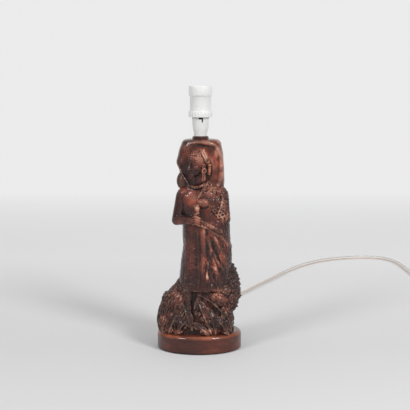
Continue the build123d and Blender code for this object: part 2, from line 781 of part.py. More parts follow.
with BuildPart() as coil_tie:
    # a flat strap round the four runs at the coil's right-hand side
    inner_run = coil_radius - 1.5 * coil_pitch - lead_radius - 2 * loose_gap
    outer_run = coil_radius - 0.5 * coil_pitch + lead_radius + 2 * loose_gap
    strap_width = outer_run - inner_run
    strap_height = coil_pitch + 2 * lead_radius + 0.2
    strap_plane = Plane(
        origin=(coil_centre[0] + (inner_run + outer_run) / 2, coil_centre[1], coil_tie_thickness + strap_height / 2),
        x_dir=(1, 0, 0),
        z_dir=(0, -1, 0),
    )
    with BuildSketch(strap_plane):
        RectangleRounded(strap_width + 2 * coil_tie_thickness, strap_height + 2 * coil_tie_thickness, 3)
        RectangleRounded(strap_width, strap_height, 2.2, mode=Mode.SUBTRACT)
    extrude(amount=coil_tie_width / 2, both=True)
coil_tie.part.label = "coil_tie"
export_step(coil_tie.part, "parts/coil_tie.step")

# =========================================================================== plug
plug_z = plug_height / 2 + 0.15
plug_x = coil_start_x + 3
plug_tail_y = coil_tip.Y - 58
plug_route = (
    tuple(coil_tip),
    (coil_tip.X, coil_tip.Y - 18, coil_high_z),
    (plug_x, coil_tip.Y - 39, plug_z),
    (plug_x, plug_tail_y, plug_z),
)
plug_lead = lead_tube(plug_route, "plug_lead")
plug_lead.part.label = "plug_lead"
export_step(plug_lead.part, "parts/plug_lead.step")

with BuildPart() as plug_body:
    plug_back = Plane(origin=(plug_x, plug_tail_y, plug_z), x_dir=(1, 0, 0), z_dir=(0, -1, 0))
    with BuildSketch(plug_back):
        Circle(lead_radius + 0.9)
    with BuildSketch(plug_back.offset(plug_relief_length)):
        Circle(lead_radius + 2.1)
    loft()
    for reach, width, height in (
        (plug_relief_length, 11.5, 11.0),
        (plug_relief_length + 7, 15, 12.6),
        (plug_relief_length + 20, plug_width - 3, plug_height),
        (plug_relief_length + plug_length, plug_width, plug_height),
    ):
        with BuildSketch(plug_back.offset(reach)):
            RectangleRounded(width, height, 4.4)
    loft()
plug_body.part.label = "plug_body"
export_step(plug_body.part, "parts/plug_body.step")

plug_face = plug_back.offset(plug_relief_length + plug_length)
with BuildPart() as plug_pins:
    with BuildSketch(plug_face):
        with Locations((-pin_spacing / 2, 0), (pin_spacing / 2, 0)):
            Circle(pin_radius)
    extrude(amount=pin_length)
    chamfer(plug_pins.edges().group_by(Axis.Y)[0], 0.8)
plug_pins.part.label = "plug_pins"
export_step(plug_pins.part, "parts/plug_pins.step")

# ========================================================================= switch
switch_y = switch_entry_y - switch_length / 2
parting_z = switch_stand + switch_base_height
switch_top = parting_z + switch_cover_height
rocker_pivot_z = switch_top - 3.3
screw_spots = ((switch_x - 7.5, switch_y + 17), (switch_x + 7.5, switch_y - 17))
screw_shank_radius = 1.1

with BuildPart() as switch_base:
    with BuildSketch(Plane.XY.offset(parting_z)):
        with Locations((switch_x, switch_y)):
            RectangleRounded(switch_width, switch_length, 8)
    extrude(amount=-switch_base_height, taper=switch_draft)
    with BuildSketch(Plane.XY.offset(switch_stand + switch_wall)):
        with Locations((switch_x, switch_y)):
            RectangleRounded(switch_width - 3 - 2 * switch_wall, switch_length - 3 - 2 * switch_wall, 5)
    extrude(amount=switch_base_height, mode=Mode.SUBTRACT)
    with BuildSketch(Plane.XY.offset(switch_stand + switch_wall)):
        with Locations(*screw_spots):
            Circle(2.7)
    extrude(amount=switch_base_height - switch_wall)
    with BuildSketch(Plane.XY.offset(switch_stand)):
        with Locations(*screw_spots):
            Circle(screw_shank_radius + running_gap)
    extrude(amount=switch_base_height, mode=Mode.SUBTRACT)
    with BuildSketch(Plane.XY.offset(switch_stand)):
        with Locations(*screw_spots):
            Circle(2.1)
    extrude(amount=1.5, mode=Mode.SUBTRACT)
    with BuildSketch(Plane(origin=(switch_x, switch_y, parting_z), z_dir=(0, 1, 0))):
        Circle(lead_radius + loose_gap)
    extrude(amount=switch_length, both=True, mode=Mode.SUBTRACT)
switch_base.part.label = "switch_base"
export_step(switch_base.part, "parts/switch_base.step")

with BuildPart() as switch_cover:
    with BuildSketch(Plane.XY.offset(parting_z)):
        with Locations((switch_x, switch_y)):
            RectangleRounded(switch_width, switch_length, 8)
    extrude(amount=switch_cover_height, taper=switch_draft)
    chamfer(switch_cover.edges().group_by(Axis.Z)[-1], 1.8)
    with BuildSketch(Plane.XY.offset(parting_z)):
        with Locations((switch_x, switch_y)):
            RectangleRounded(switch_width - 5 - 2 * switch_wall, switch_length - 8 - 2 * switch_wall, 4)
    extrude(amount=switch_cover_height - switch_wall, mode=Mode.SUBTRACT)
    # bosses for the screws, and two lugs that carry the rocker's pin
    with BuildSketch(Plane.XY.offset(parting_z)):
        with Locations(*screw_spots):
            Circle(2.7)
    extrude(amount=switch_cover_height - switch_wall + 0.2)
    lug_offset = rocker_width / 2 + rocker_gap + 0.75
    with BuildSketch(Plane.XY.offset(rocker_pivot_z - 3)):
        with Locations((switch_x - lug_offset, switch_y), (switch_x + lug_offset, switch_y)):
            Rectangle(1.5, 7)
    extrude(amount=switch_top - switch_wall - rocker_pivot_z + 3.2)
    with BuildSketch(Plane.XY.offset(parting_z + 1)):
        with Locations((switch_x, switch_y)):
            Rectangle(rocker_width + 2 * rocker_gap, 2 * (rocker_radius + rocker_gap))
    extrude(amount=switch_cover_height, mode=Mode.SUBTRACT)
    with BuildSketch(Plane(origin=(switch_x, switch_y, rocker_pivot_z), z_dir=(1, 0, 0))):
        Circle(rocker_pin_radius + running_gap)
    extrude(amount=lug_offset + 1.5, both=True, mode=Mode.SUBTRACT)
    with BuildSketch(Plane.XY.offset(parting_z)):
        with Locations(*screw_spots):
            Circle(screw_shank_radius + running_gap)
    extrude(amount=5.2, mode=Mode.SUBTRACT)
    with BuildSketch(Plane(origin=(switch_x, switch_y, parting_z), z_dir=(0, 1, 0))):
        Circle(lead_radius + loose_gap)
    extrude(amount=switch_length, both=True, mode=Mode.SUBTRACT)
switch_cover.part.label = "switch_cover"
export_step(switch_cover.part, "parts/switch_cover.step")

with BuildPart() as switch_rocker:
    # modelled in the off position, turned half its throw back from level
    rest_turn = math.radians(-rocker_throw / 2)
    rocker_plane = Plane(
        origin=(switch_x, switch_y, rocker_pivot_z),
        x_dir=(0, math.cos(rest_turn), math.sin(rest_turn)),
        z_dir=(1, 0, 0),
    )
    with BuildSketch(rocker_plane):
        Circle(rocker_radius)
        with BuildLine():
            Polyline(
                (-rocker_radius - 1, 4.9),
                (-rocker_radius + 1, 4.7),
                (0, 3.6),
                (rocker_radius - 1, 4.7),
                (rocker_radius + 1, 4.9),
                (rocker_radius + 1, -2.2),
                (-rocker_radius - 1, -2.2),
                close=True,
            )
        make_face(mode=Mode.INTERSECT)
        Circle(rocker_pin_radius + running_gap, mode=Mode.SUBTRACT)
    extrude(amount=rocker_width / 2, both=True)
switch_rocker.part.label = "switch_rocker"
export_step(switch_rocker.part, "parts/switch_rocker.step")

with BuildPart() as rocker_pin:
    with BuildSketch(Plane(origin=(switch_x, switch_y, rocker_pivot_z), z_dir=(1, 0, 0))):
        Circle(rocker_pin_radius)
    extrude(amount=lug_offset + 0.7, both=True)
rocker_pin.part.label = "rocker_pin"
export_step(rocker_pin.part, "parts/rocker_pin.step")

with BuildPart() as switch_screws:
    for spot in screw_spots:
        with BuildSketch(Plane.XY.offset(switch_stand + 0.2)):
            with Locations(spot):
                Circle(2)
        extrude(amount=1.3)
        with BuildSketch(Plane.XY.offset(switch_stand + 1.5)):
            with Locations(spot):
                Circle(screw_shank_radius)
        extrude(amount=switch_base_height + 3.4)
switch_screws.part.label = "switch_screws"
export_step(switch_screws.part, "parts/switch_screws.step")

with BuildPart() as switch_contacts:
    # two sprung strips on the floor of the switch, under the ends of the rocker
    with BuildSketch(Plane.XY.offset(switch_stand + switch_wall)):
        with Locations((switch_x, switch_y - 11), (switch_x, switch_y + 11)):
            Rectangle(5, 14)
    extrude(amount=0.6)
    with BuildSketch(Plane.XY.offset(switch_stand + switch_wall + 0.6)):
        with Locations((switch_x, switch_y - 5), (switch_x, switch_y + 5)):
            Rectangle(4, 1.2)
    extrude(amount=1.4)
switch_contacts.part.label = "switch_contacts"
export_step(switch_contacts.part, "parts/switch_contacts.step")
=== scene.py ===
from math import acos, atan2, copysign, cos, exp, hypot, pi, radians, sin

import bmesh
import bpy
import numpy as np
from mathutils import Matrix, Vector, noise


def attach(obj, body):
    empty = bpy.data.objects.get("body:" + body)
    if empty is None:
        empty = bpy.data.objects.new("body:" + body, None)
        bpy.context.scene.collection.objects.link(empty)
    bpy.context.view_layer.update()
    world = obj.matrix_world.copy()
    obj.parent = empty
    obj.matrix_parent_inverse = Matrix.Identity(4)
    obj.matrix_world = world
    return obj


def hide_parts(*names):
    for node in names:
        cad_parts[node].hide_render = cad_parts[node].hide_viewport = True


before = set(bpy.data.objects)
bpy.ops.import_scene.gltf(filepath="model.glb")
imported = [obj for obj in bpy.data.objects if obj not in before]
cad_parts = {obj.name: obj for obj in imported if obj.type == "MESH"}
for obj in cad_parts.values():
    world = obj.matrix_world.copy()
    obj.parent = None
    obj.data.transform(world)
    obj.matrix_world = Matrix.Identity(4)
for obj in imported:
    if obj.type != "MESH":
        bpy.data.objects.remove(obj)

scene = bpy.context.scene
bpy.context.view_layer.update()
mm = 0.001


# node trees

def addNode(tree, kind, inputs=None, **settings):
    node = tree.nodes.new("ShaderNode" + kind)
    for key, value in settings.items():
        setattr(node, key, value)
    for key, value in (inputs or {}).items():
        if isinstance(value, bpy.types.NodeSocket):
            tree.links.new(value, node.inputs[key])
        else:
            node.inputs[key].default_value = value
    return node


def mathNode(tree, operation, first, second, clamp=False):
    inputs = {0: first, 1: second}
    return addNode(tree, "Math", inputs, operation=operation, use_clamp=clamp).outputs[0]


def spread(tree, value, low, high, toLow=0.0, toHigh=1.0):  # remaps a value, clamped
    settings = {"Value": value, "From Min": low, "From Max": high, "To Min": toLow, "To Max": toHigh}
    return addNode(tree, "MapRange", settings).outputs["Result"]


def mixColor(tree, share, first, second):
    return addNode(tree, "Mix", {0: share, 6: first, 7: second}, data_type="RGBA").outputs[2]


def objectPlace(tree):
    return addNode(tree, "TexCoord").outputs["Object"]


def stretch(tree, place, scale):
    return addNode(tree, "Mapping", {"Vector": place, "Scale": scale}).outputs[0]


def clouds(tree, place, scale, detail, **more):
    inputs = {"Vector": place, "Scale": scale, "Detail": detail, **more}
    return addNode(tree, "TexNoise", inputs).outputs["Fac"]


def newGroup(name, inputs):  # an input's default gives its kind
    group = bpy.data.node_groups.new(name, "ShaderNodeTree")
    kinds = {1: "NodeSocketFloat", 3: "NodeSocketVector", 4: "NodeSocketColor"}
    for label, default in inputs.items():
        socket = group.interface.new_socket(label, in_out="INPUT", socket_type=kinds[np.size(default)])
        socket.default_value = default
    for label, size in (("Color", 4), ("Roughness", 1), ("Height", 1)):
        group.interface.new_socket(label, in_out="OUTPUT", socket_type=kinds[size])
    start = group.nodes.new("NodeGroupInput")
    return group, start.outputs


def closeGroup(group, color, roughness, height):
    end = group.nodes.new("NodeGroupOutput")
    for label, value in (("Color", color), ("Roughness", roughness), ("Height", height)):
        group.links.new(value, end.inputs[label])
    return group


def buildPatina():  # stained wood: dark in the recesses, thin and red in patches, worn pale on some ridges; the thin and worn colours also paint highlights and lit sides in
    group, given = newGroup("woodPatina", {
        "Stain": (0.1, 0.02, 0.01, 1), "Thin_And_Lit": (0.3, 0.08, 0.04, 1), "Worn_And_Highlight": (0.4, 0.18, 0.1, 1),
        "Recess": (0.01, 0.005, 0.004, 1), "Relief": 0.5, "Broad": 0.5, "Flush": 0.0, "Blotch Scale": 60.0,
        "Grain": (1, 1, 0.13), "Cloud": (1, 1, 1), "Evenness": 0.6, "Tooling": 0.0})
    place = objectPlace(group)
    clouded = stretch(group, place, given["Cloud"])
    blotch = clouds(group, clouded, given["Blotch Scale"], 5.0, Roughness=0.6)
    drift = clouds(group, clouded, mathNode(group, "MULTIPLY", given["Blotch Scale"], 2.3), 3.0)
    grain = clouds(group, stretch(group, place, given["Grain"]), 900.0, 4.0, Distortion=0.4)
    fine = clouds(group, place, 1500.0, 3.0)
    nicks = clouds(group, place, 430.0, 2.0, Roughness=0.6)
    darkRed = mixColor(group, spread(group, blotch, 0.36, 0.64), given["Recess"], given["Stain"])
    stained = mixColor(group, given["Evenness"], darkRed, given["Stain"])
    # thin red stain from the patches and the drift, and painted light where the patches stand for lit sides
    thinAndLitShare = mathNode(group, "MULTIPLY", given["Flush"], spread(group, drift, 0.34, 0.6, 0.3, 1.0), clamp=True)
    thinAndLitShare = mathNode(group, "ADD", thinAndLitShare, spread(group, drift, 0.56, 0.8, 0.0, 0.35), clamp=True)
    thinnedAndLit = mixColor(group, thinAndLitShare, stained, given["Thin_And_Lit"])
    grained = mixColor(group, spread(group, grain, 0.38, 0.66, 0.4, 0.0), thinnedAndLit, given["Recess"])
    # pale wear on ridges and in the strongest patches, partly a painted highlight
    wearAndHighlight = mathNode(group, "ADD", spread(group, given["Relief"], 0.64, 1.0),
                    spread(group, given["Broad"], 0.66, 1.0, 0, 0.4), clamp=True)
    rubbedAndLit = mathNode(group, "MULTIPLY", spread(group, drift, 0.42, 0.64, 0.25, 1.0),
                      spread(group, given["Flush"], 0.0, 0.8, 0.3, 1.0))
    wearAndHighlight = mathNode(group, "MULTIPLY", wearAndHighlight, rubbedAndLit)
    wearAndHighlight = mathNode(group, "ADD", wearAndHighlight, spread(group, given["Flush"], 1.0, 1.8, 0.0, 0.75), clamp=True)
    wornAndHighlit = mixColor(group, wearAndHighlight, grained, given["Worn_And_Highlight"])
    hollow = mathNode(group, "ADD", spread(group, given["Relief"], 0.47, 0.2),
                      spread(group, given["Broad"], 0.46, 0.12, 0, 0.9), clamp=True)
    color = mixColor(group, hollow, wornAndHighlit, given["Recess"])
    roughness = mathNode(group, "ADD", spread(group, blotch, 0.3, 0.7, 0.26, 0.42),
                         mathNode(group, "MULTIPLY", hollow, 0.25))
    height = mathNode(group, "ADD", mathNode(group, "MULTIPLY", grain, 0.7),
                      mathNode(group, "MULTIPLY", fine, 0.5))
    height = mathNode(group, "ADD", height, mathNode(group, "MULTIPLY", nicks, given["Tooling"]))
    return closeGroup(group, color, roughness, height)


def buildMoulded():  # faint clouding and handling marks on plastic, metal and felt
    group, given = newGroup("mouldedSkin", {
        "Color": (0.8, 0.8, 0.8, 1), "Shade": (0.6, 0.6, 0.58, 1), "Base": 0.4, "Scale": 120.0})
    place = objectPlace(group)
    cloud = clouds(group, place, given["Scale"], 6.0, Roughness=0.65)
    scuff = clouds(group, stretch(group, place, (1, 1, 0.2)), 420.0, 3.0)
    color = mixColor(group, spread(group, cloud, 0.4, 0.75, 0.0, 0.45), given["Color"], given["Shade"])
    roughness = mathNode(group, "ADD", given["Base"], spread(group, scuff, 0.5, 0.75, 0.0, 0.12))
    return closeGroup(group, color, roughness, clouds(group, place, 2600.0, 2.0))


patinaGroup = buildPatina()
mouldedGroup = buildMoulded()


def newMaterial(name, **constants):
    material = bpy.data.materials.new(name)
    material.use_nodes = True
    shader = material.node_tree.nodes["Principled BSDF"]
    for key, value in constants.items():
        shader.inputs[key.replace("_", " ")].default_value = value
    return material.node_tree, shader


def fillShader(tree, shader, group, inputs, bump, distance):
    skin = addNode(tree, "Group", inputs, node_tree=group).outputs
    inputs = {"Height": skin["Height"], "Strength": bump, "Distance": distance}
    raised = addNode(tree, "Bump", inputs)
    tree.links.new(skin["Color"], shader.inputs["Base Color"])
    tree.links.new(skin["Roughness"], shader.inputs["Roughness"])
    tree.links.new(raised.outputs[0], shader.inputs["Normal"])


def patinaMaterial(name, inputs, bump, highlightRim=(), **constants):
    tree, shader = newMaterial(name, IOR=1.5, Specular_IOR_Level=0.26, **constants)
    if highlightRim:  # painted highlight band along the upper edge of the turned piece: height bands, multiplied
        height = addNode(tree, "SeparateXYZ", {0: objectPlace(tree)}).outputs["Z"]
        first, second, third = (spread(tree, height, *band) for band in highlightRim)
        inputs["Flush"] = mathNode(tree, "MULTIPLY", mathNode(tree, "MULTIPLY", first, second), third)
    else:
        for label in ("Relief", "Broad", "Flush"):
            inputs[label] = addNode(tree, "Attribute", attribute_name=label.lower()).outputs["Fac"]
    fillShader(tree, shader, patinaGroup, inputs, bump, 0.0004)


patinaMaterial("carvedWood", {
    "Stain": (0.066, 0.0145, 0.0115, 1), "Thin_And_Lit": (0.37, 0.084, 0.048, 1), "Worn_And_Highlight": (0.6, 0.33, 0.22, 1),
    "Recess": (0.008, 0.004, 0.0034, 1), "Blotch Scale": 48, "Evenness": 0.3, "Tooling": 3.5,
}, 0.4, Coat_Weight=0.42, Coat_Roughness=0.1)
patinaMaterial("toothedWood", {
    "Stain": (0.066, 0.0158, 0.011, 1), "Thin_And_Lit": (0.36, 0.086, 0.046, 1), "Worn_And_Highlight": (0.58, 0.36, 0.25, 1),
    "Recess": (0.008, 0.004, 0.0032, 1), "Blotch Scale": 52, "Evenness": 0.3, "Tooling": 7.0,
}, 0.7, Coat_Weight=0.34, Coat_Roughness=0.12)
# the plinth's thin colour paints a highlight band along its rim
patinaMaterial("plinthWood", {
    "Stain": (0.12, 0.022, 0.0105, 1), "Thin_And_Lit": (0.34, 0.09, 0.035, 1), "Worn_And_Highlight": (0.3, 0.07, 0.03, 1),
    "Recess": (0.014, 0.005, 0.004, 1), "Blotch Scale": 60, "Evenness": 0.25, "Grain": (0.13, 0.5, 1),
    "Cloud": (0.3, 0.6, 1.2),
}, 0.1, highlightRim=((0.0165, 0.0185), (0.0202, 0.0209, 1.0, 0.3), (0.025, 0.03, 1.0, 0.0)),
    Coat_Weight=0.6, Coat_Roughness=0.08)

metal = {"Metallic": 1}
finishes = {  # colour, shade, roughness, scale of the clouding, bump, what is set on the shader itself
    "holderPlastic": ((0.74, 0.745, 0.735), (0.67, 0.67, 0.65), 0.34, 120, 0.08, {}),
    "insertPlastic": ((0.02, 0.02, 0.02), (0.035, 0.032, 0.03), 0.5, 120, 0.08, {}),
    "fittingPlastic": ((0.8, 0.8, 0.78), (0.7, 0.7, 0.66), 0.32, 120, 0.08, {}),
    "tieStrap": ((0.03, 0.03, 0.032), (0.06, 0.06, 0.06), 0.55, 300, 0.3, {}),
    "brassMetal": ((0.72, 0.5, 0.2), (0.5, 0.3, 0.12), 0.28, 260, 0.1, metal),
    "steelMetal": ((0.62, 0.62, 0.6), (0.45, 0.44, 0.42), 0.3, 260, 0.1, metal),
    "pinMetal": ((0.75, 0.75, 0.74), (0.6, 0.6, 0.58), 0.16, 260, 0.05, metal),
    "copperCore": ((0.62, 0.33, 0.2), (0.4, 0.2, 0.12), 0.35, 900, 0.2, metal),
    "tinnedCore": ((0.55, 0.57, 0.58), (0.4, 0.42, 0.44), 0.35, 900, 0.2, metal),
    "feltCloth": ((0.022, 0.02, 0.018), (0.05, 0.045, 0.04), 0.95, 700, 0.6, {}),
    "clearLead": ((0.96, 0.93, 0.87), (0.9, 0.85, 0.76), 0.16, 90, 0.04, {"Alpha": 0.24}),
}
for name, (color, shade, base, scale, bump, constants) in finishes.items():
    fillShader(*newMaterial(name, **constants), mouldedGroup,
               {"Color": (*color, 1), "Shade": (*shade, 1), "Base": base, "Scale": scale}, bump, 0.0002)


# pieces

def newMesh(name, bm):
    mesh = bpy.data.meshes.new(name)
    bm.to_mesh(mesh)
    bm.free()
    return mesh


def newObject(name, data):
    holder = bpy.data.objects.new(name, data)
    scene.collection.objects.link(holder)
    return holder


def newPiece(name, bm, material, sharp=None):
    mesh = newMesh(name, bm)
    mesh.shade_smooth()
    if sharp is not None:
        mesh.set_sharp_from_angle(angle=radians(sharp))
    mesh.materials.append(bpy.data.materials[material])
    piece = newObject(name, mesh)
    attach(piece, "lamp")
    return piece


def subtract(holder, cutter):
    cut = holder.modifiers.new("cut", "BOOLEAN")
    cut.operation = "DIFFERENCE"
    cut.solver = "EXACT"
    cut.object = cutter


def settle(holders):  # the first one's finished mesh; all of them are taken away
    bpy.context.view_layer.update()
    found = holders[0].evaluated_get(bpy.context.evaluated_depsgraph_get())
    bm = bmesh.new()
    bm.from_mesh(bpy.data.meshes.new_from_object(found))
    for holder in holders:
        bpy.data.objects.remove(holder)
    return bm


def addedVerts(made):
    return [item for item in made["geom"] if isinstance(item, bmesh.types.BMVert)]


# camera, floor and light
view = {"place": (0.005, -1.1, 0.33), "pitch": 8.53, "lens": 86.44, "sensor": 36}
room = {
    "near": -2.6, "far": 1.5, "bend": 0.9, "height": 3.2, "half": 4.0, "steps": 24,
    "nearShadeTone": (0.665, 0.665, 0.67, 1), "farLightTone": (0.88, 0.88, 0.885, 1), "dustTone": (0.6, 0.6, 0.61, 1),
    "wallTone": (0.835, 0.835, 0.835, 1), "worldStrength": 0.42,
}
lamps = {
    "key": {"turn": 40, "lift": 36, "distance": 1.7, "size": 0.5, "power": 14.5},
    "fill": {"turn": -44, "lift": 36, "distance": 1.8, "size": 0.5, "power": 9},
    "top": {"turn": 10, "lift": 80, "distance": 1.7, "size": 1.1, "power": 5},
}


def buildView():
    camera = bpy.data.cameras.new("camera")
    camera.lens = view["lens"]
    camera.sensor_width = view["sensor"]
    scene.camera = newObject("camera", camera)
    scene.camera.location = view["place"]
    scene.camera.rotation_euler = (radians(90 - view["pitch"]), 0, 0)
    scene.view_settings.view_transform = "Standard"


def buildRoom():
    bm = bmesh.new()
    outline = [Vector((-room["half"], room["near"], 0)), Vector((-room["half"], room["far"], 0))]
    for count in range(1, room["steps"] + 1):
        turn = pi / 2 * count / room["steps"]
        outline.append(Vector((-room["half"], room["far"] + room["bend"] * sin(turn),
                               room["bend"] * (1 - cos(turn)))))
    outline.append(Vector((-room["half"], room["far"] + room["bend"], room["height"])))
    verts = [bm.verts.new(place) for place in outline]
    edges = [bm.edges.new(pair) for pair in zip(verts, verts[1:])]
    made = bmesh.ops.extrude_edge_only(bm, edges=edges)
    bmesh.ops.translate(bm, verts=addedVerts(made), vec=(2 * room["half"], 0, 0))
    bmesh.ops.recalc_face_normals(bm, faces=bm.faces)
    mesh = newMesh("floor", bm)
    mesh.shade_smooth()
    tree, shader = newMaterial("paperSweep", Roughness=0.9)
    place = objectPlace(tree)
    depth = addNode(tree, "SeparateXYZ", {0: place}).outputs["Y"]
    # painted light: the floor is painted darker near the camera and lighter further back
    paintedFalloff = mixColor(tree, spread(tree, depth, 0.0, 0.5), room["nearShadeTone"], room["farLightTone"])
    dust = spread(tree, clouds(tree, place, 3.0, 3.0), 0.3, 0.7, 0.0, 0.05)
    tree.links.new(mixColor(tree, dust, paintedFalloff, room["dustTone"]), shader.inputs["Base Color"])
    rays = addNode(tree, "LightPath").outputs
    seen = mathNode(tree, "MAXIMUM", rays["Is Glossy Ray"], rays["Is Transmission Ray"])
    seen = mathNode(tree, "MAXIMUM", rays["Is Camera Ray"], seen)
    share = mathNode(tree, "MULTIPLY", seen, spread(tree, depth, 0.35, 1.3))
    wall = addNode(tree, "Emission", {"Color": room["wallTone"], "Strength": 1.0})
    both = addNode(tree, "MixShader", {0: share, 1: shader.outputs[0], 2: wall.outputs[0]})
    tree.links.new(both.outputs[0], tree.nodes["Material Output"].inputs["Surface"])
    mesh.materials.append(bpy.data.materials["paperSweep"])
    newObject("floor", mesh)


def buildLamps():
    for name, lamp in lamps.items():
        light = bpy.data.lights.new(name, "AREA")
        light.shape = "DISK"
        light.size = lamp["size"]
        light.energy = lamp["power"]
        turn, lift = radians(lamp["turn"]), radians(lamp["lift"])
        away = Vector((sin(turn) * cos(lift), -cos(turn) * cos(lift), sin(lift)))
        holder = newObject(name, light)
        holder.location = Vector((0, 0, 0.13)) + away * lamp["distance"]
        holder.rotation_euler = away.to_track_quat("Z", "Y").to_euler()
    scene.world = bpy.data.worlds.new("studio")
    scene.world.use_nodes = True
    background = scene.world.node_tree.nodes["Background"]
    background.inputs["Color"].default_value = (1, 1, 1, 1)
    background.inputs["Strength"].default_value = room["worldStrength"]


buildView()
buildRoom()
buildLamps()
print("view, floor and light")

# lead: a clear flat twin, its route repeated from the solids
lead = {"lobe": 1.8, "spacing": 3.2, "core": 0.52, "plinthBack": 35.5, "exit": 7.0, "rest": 3.5}
switch = {"x": 328.0, "nearEnd": 238.0, "farEnd": 300.0, "entry": 6.7, "inset": 5.0}
coil = {"centre": (374.0, 178.0), "radius": 41.0, "halfTurns": 8, "pitch": 7.7, "low": 4.3, "perTurn": 14}
plug = {"x": 336.0, "z": 7.0, "tail": 113.2}


def stretchRoute():
    rest = lead["rest"]
    points = [
        (0, lead["plinthBack"] + 2, lead["exit"]), (0, 64, lead["exit"]), (1, 92, 4.6), (4, 126, rest),
        (14, 168, rest), (33, 208, rest), (56, 246, rest), (79, 290, rest), (104, 338, rest),
        (130, 388, rest), (158, 434, rest), (191, 470, rest), (230, 491, rest), (270, 501, rest),
        (300, 489, rest), (315, 456, rest), (318, 414, rest), (321, 373, rest), (326, 338, 4.6),
        (switch["x"], 316, switch["entry"]),
        (switch["x"], switch["farEnd"] - switch["inset"], switch["entry"]),
    ]
    return [Vector(point) * mm for point in points]


def coilRoute():
    centreX, centreY = coil["centre"]
    startX, startY, endY = centreX - coil["radius"], centreY + 6.8, centreY - 6.8
    high = coil["low"] + coil["pitch"]
    points = [
        (switch["x"], switch["nearEnd"] + switch["inset"], switch["entry"]),
        (switch["x"], switch["nearEnd"] - 14, switch["entry"]),
        (startX, startY + 18, coil["low"]), (startX, startY + 3, coil["low"]),
    ]
    count = coil["halfTurns"] * coil["perTurn"] // 2
    swell = 1 / cos(pi / coil["perTurn"])  # the spline cuts inside its points by this much
    for index in range(1, count):
        k = index * coil["halfTurns"] / count
        turn = pi * (1 + k)
        radius = (coil["radius"] - coil["pitch"] / 2 * min(k, coil["halfTurns"] - k)) * swell
        climb = min(max(k - coil["halfTurns"] / 2 + 0.5, 0), 1)
        points.append((centreX + radius * cos(turn), centreY + radius * sin(turn),
                       coil["low"] + coil["pitch"] * climb))
    points += [
        (startX, endY - 3, high), (startX, endY - 18, high),
        (plug["x"], endY - 39, plug["z"]), (plug["x"], plug["tail"], plug["z"]),
    ]
    return [Vector(point) * mm for point in points]


def lobeOutline():  # two touching lobes, the section of the insulation
    lobe, half = lead["lobe"] * mm, lead["spacing"] / 2 * mm
    reach = acos(-half / lobe)
    right = [-reach + 2 * reach * index / 11 for index in range(12)]
    outline = [(half + lobe * cos(turn), lobe * sin(turn)) for turn in right]
    return outline + [(-x, -y) for x, y in outline]


def coreOutline(side):
    centre = side * lead["spacing"] / 2 * mm
    turns = [2 * pi * index / 10 for index in range(10)]
    radius = lead["core"] * mm
    return [(centre + radius * cos(turn), radius * sin(turn)) for turn in turns]


def sweepRoute(name, route, tilts, outline=None):  # a mesh that follows the route's own spline
    curve = bpy.data.curves.new(name, "CURVE")
    curve.dimensions = "3D"
    curve.twist_mode = "Z_UP"
    curve.resolution_u = 10
    spline = curve.splines.new("NURBS")
    spline.points.add(len(route) - 1)
    for point, place, tilt in zip(spline.points, route, tilts):
        point.co = (*place, 1)
        point.tilt = tilt
    spline.order_u = 3
    spline.use_endpoint_u = True
    made = [newObject(name, curve)]
    if outline:
        shape = bpy.data.curves.new(name + "Section", "CURVE")
        ring = shape.splines.new("POLY")
        ring.points.add(len(outline) - 1)
        for point, (x, y) in zip(ring.points, outline):
            point.co = (x, y, 0, 1)
        ring.use_cyclic_u = True
        made.append(newObject(name + "Section", shape))
        curve.bevel_mode = "OBJECT"
        curve.bevel_object = made[1]
        curve.use_fill_caps = True
    return settle(made)


def leadPiece(name, route, tilts, outline, material):
    bm = sweepRoute(name, route, tilts, outline)
    bmesh.ops.remove_doubles(bm, verts=bm.verts, dist=0.00001)
    bmesh.ops.recalc_face_normals(bm, faces=bm.faces)
    return newPiece(name, bm, material)


def buildLead(name, route, tilts, replaced, carried, **facts):
    bm = sweepRoute(name + "Path", route, tilts)
    path = [tuple(vert.co) for vert in bm.verts]
    bm.free()
    skin = leadPiece(name, route, tilts, lobeOutline(), "clearLead")
    cores = [
        leadPiece(name + "Copper", route, tilts, coreOutline(1), "copperCore"),
        leadPiece(name + "Tinned", route, tilts, coreOutline(-1), "tinnedCore"),
    ]
    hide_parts(*replaced)


route = stretchRoute()
tilts = [0.0] * len(route)
for index in range(9, len(route) - 4):  # the flat side turns up on edge along the far bend
    tilts[index] = radians(min(90, 30 * (index - 8)))
buildLead("leadStretch", route, tilts, ["cord_stretch"],
          ["switch_base", "switch_cover", "switch_rocker", "rocker_pin", "switch_screws", "switch_contacts"],
          exit=(0, 0.0575, 0.007), length=0.80, far_end="fitting", lay="loose")
route = coilRoute()
tilts = [0.0, 0.0] + [radians(90)] * (len(route) - 4) + [0.0, 0.0]
buildLead("leadCoil", route, tilts, ["cord_tail", "cord_coil", "plug_lead"],
          ["plug_body", "plug_pins", "coil_tie"],
          exit=(0.328, 0.238, 0.0067), length=0.97, far_end="plug", lay="coiled")
print("lead")

# holder: two turned plastic pieces; an outline is radius and height
seam = 264.0
cap = {
    "outline": [
        (5.3, 243), (6.9, 243), (7.3, 243.4), (7.35, 246.4), (7.9, 248.2), (8.5, 250.8), (9.0, 254.5),
        (9.4, 259), (9.6, seam - 0.3), (9.3, seam), (8.9, seam), (8.9, 267.9), (8.3, 268), (8.3, 252),
        (7.2, 249.6), (5.3, 249.4)],
    "slot": [(-2.0, 264.3), (2.8, 264.3), (2.8, 258.7), (1.35, 258.7), (1.35, 262.1), (-2.0, 262.1)],
    "slotFront": -12, "slotDepth": 5,  # the release slot of its tongue, x and height
}
slotShadeTongue = {"radius": 8.24, "middle": 261.5, "halfHeight": 4.5, "halfTurn": 0.55, "thickness": 0.25}
skirt = {
    "foot": seam + 0.25, "top": 298.65, "knurls": 24, "knurlDepth": 0.45, "flutes": 12, "fluteDepth": 0.35,
}


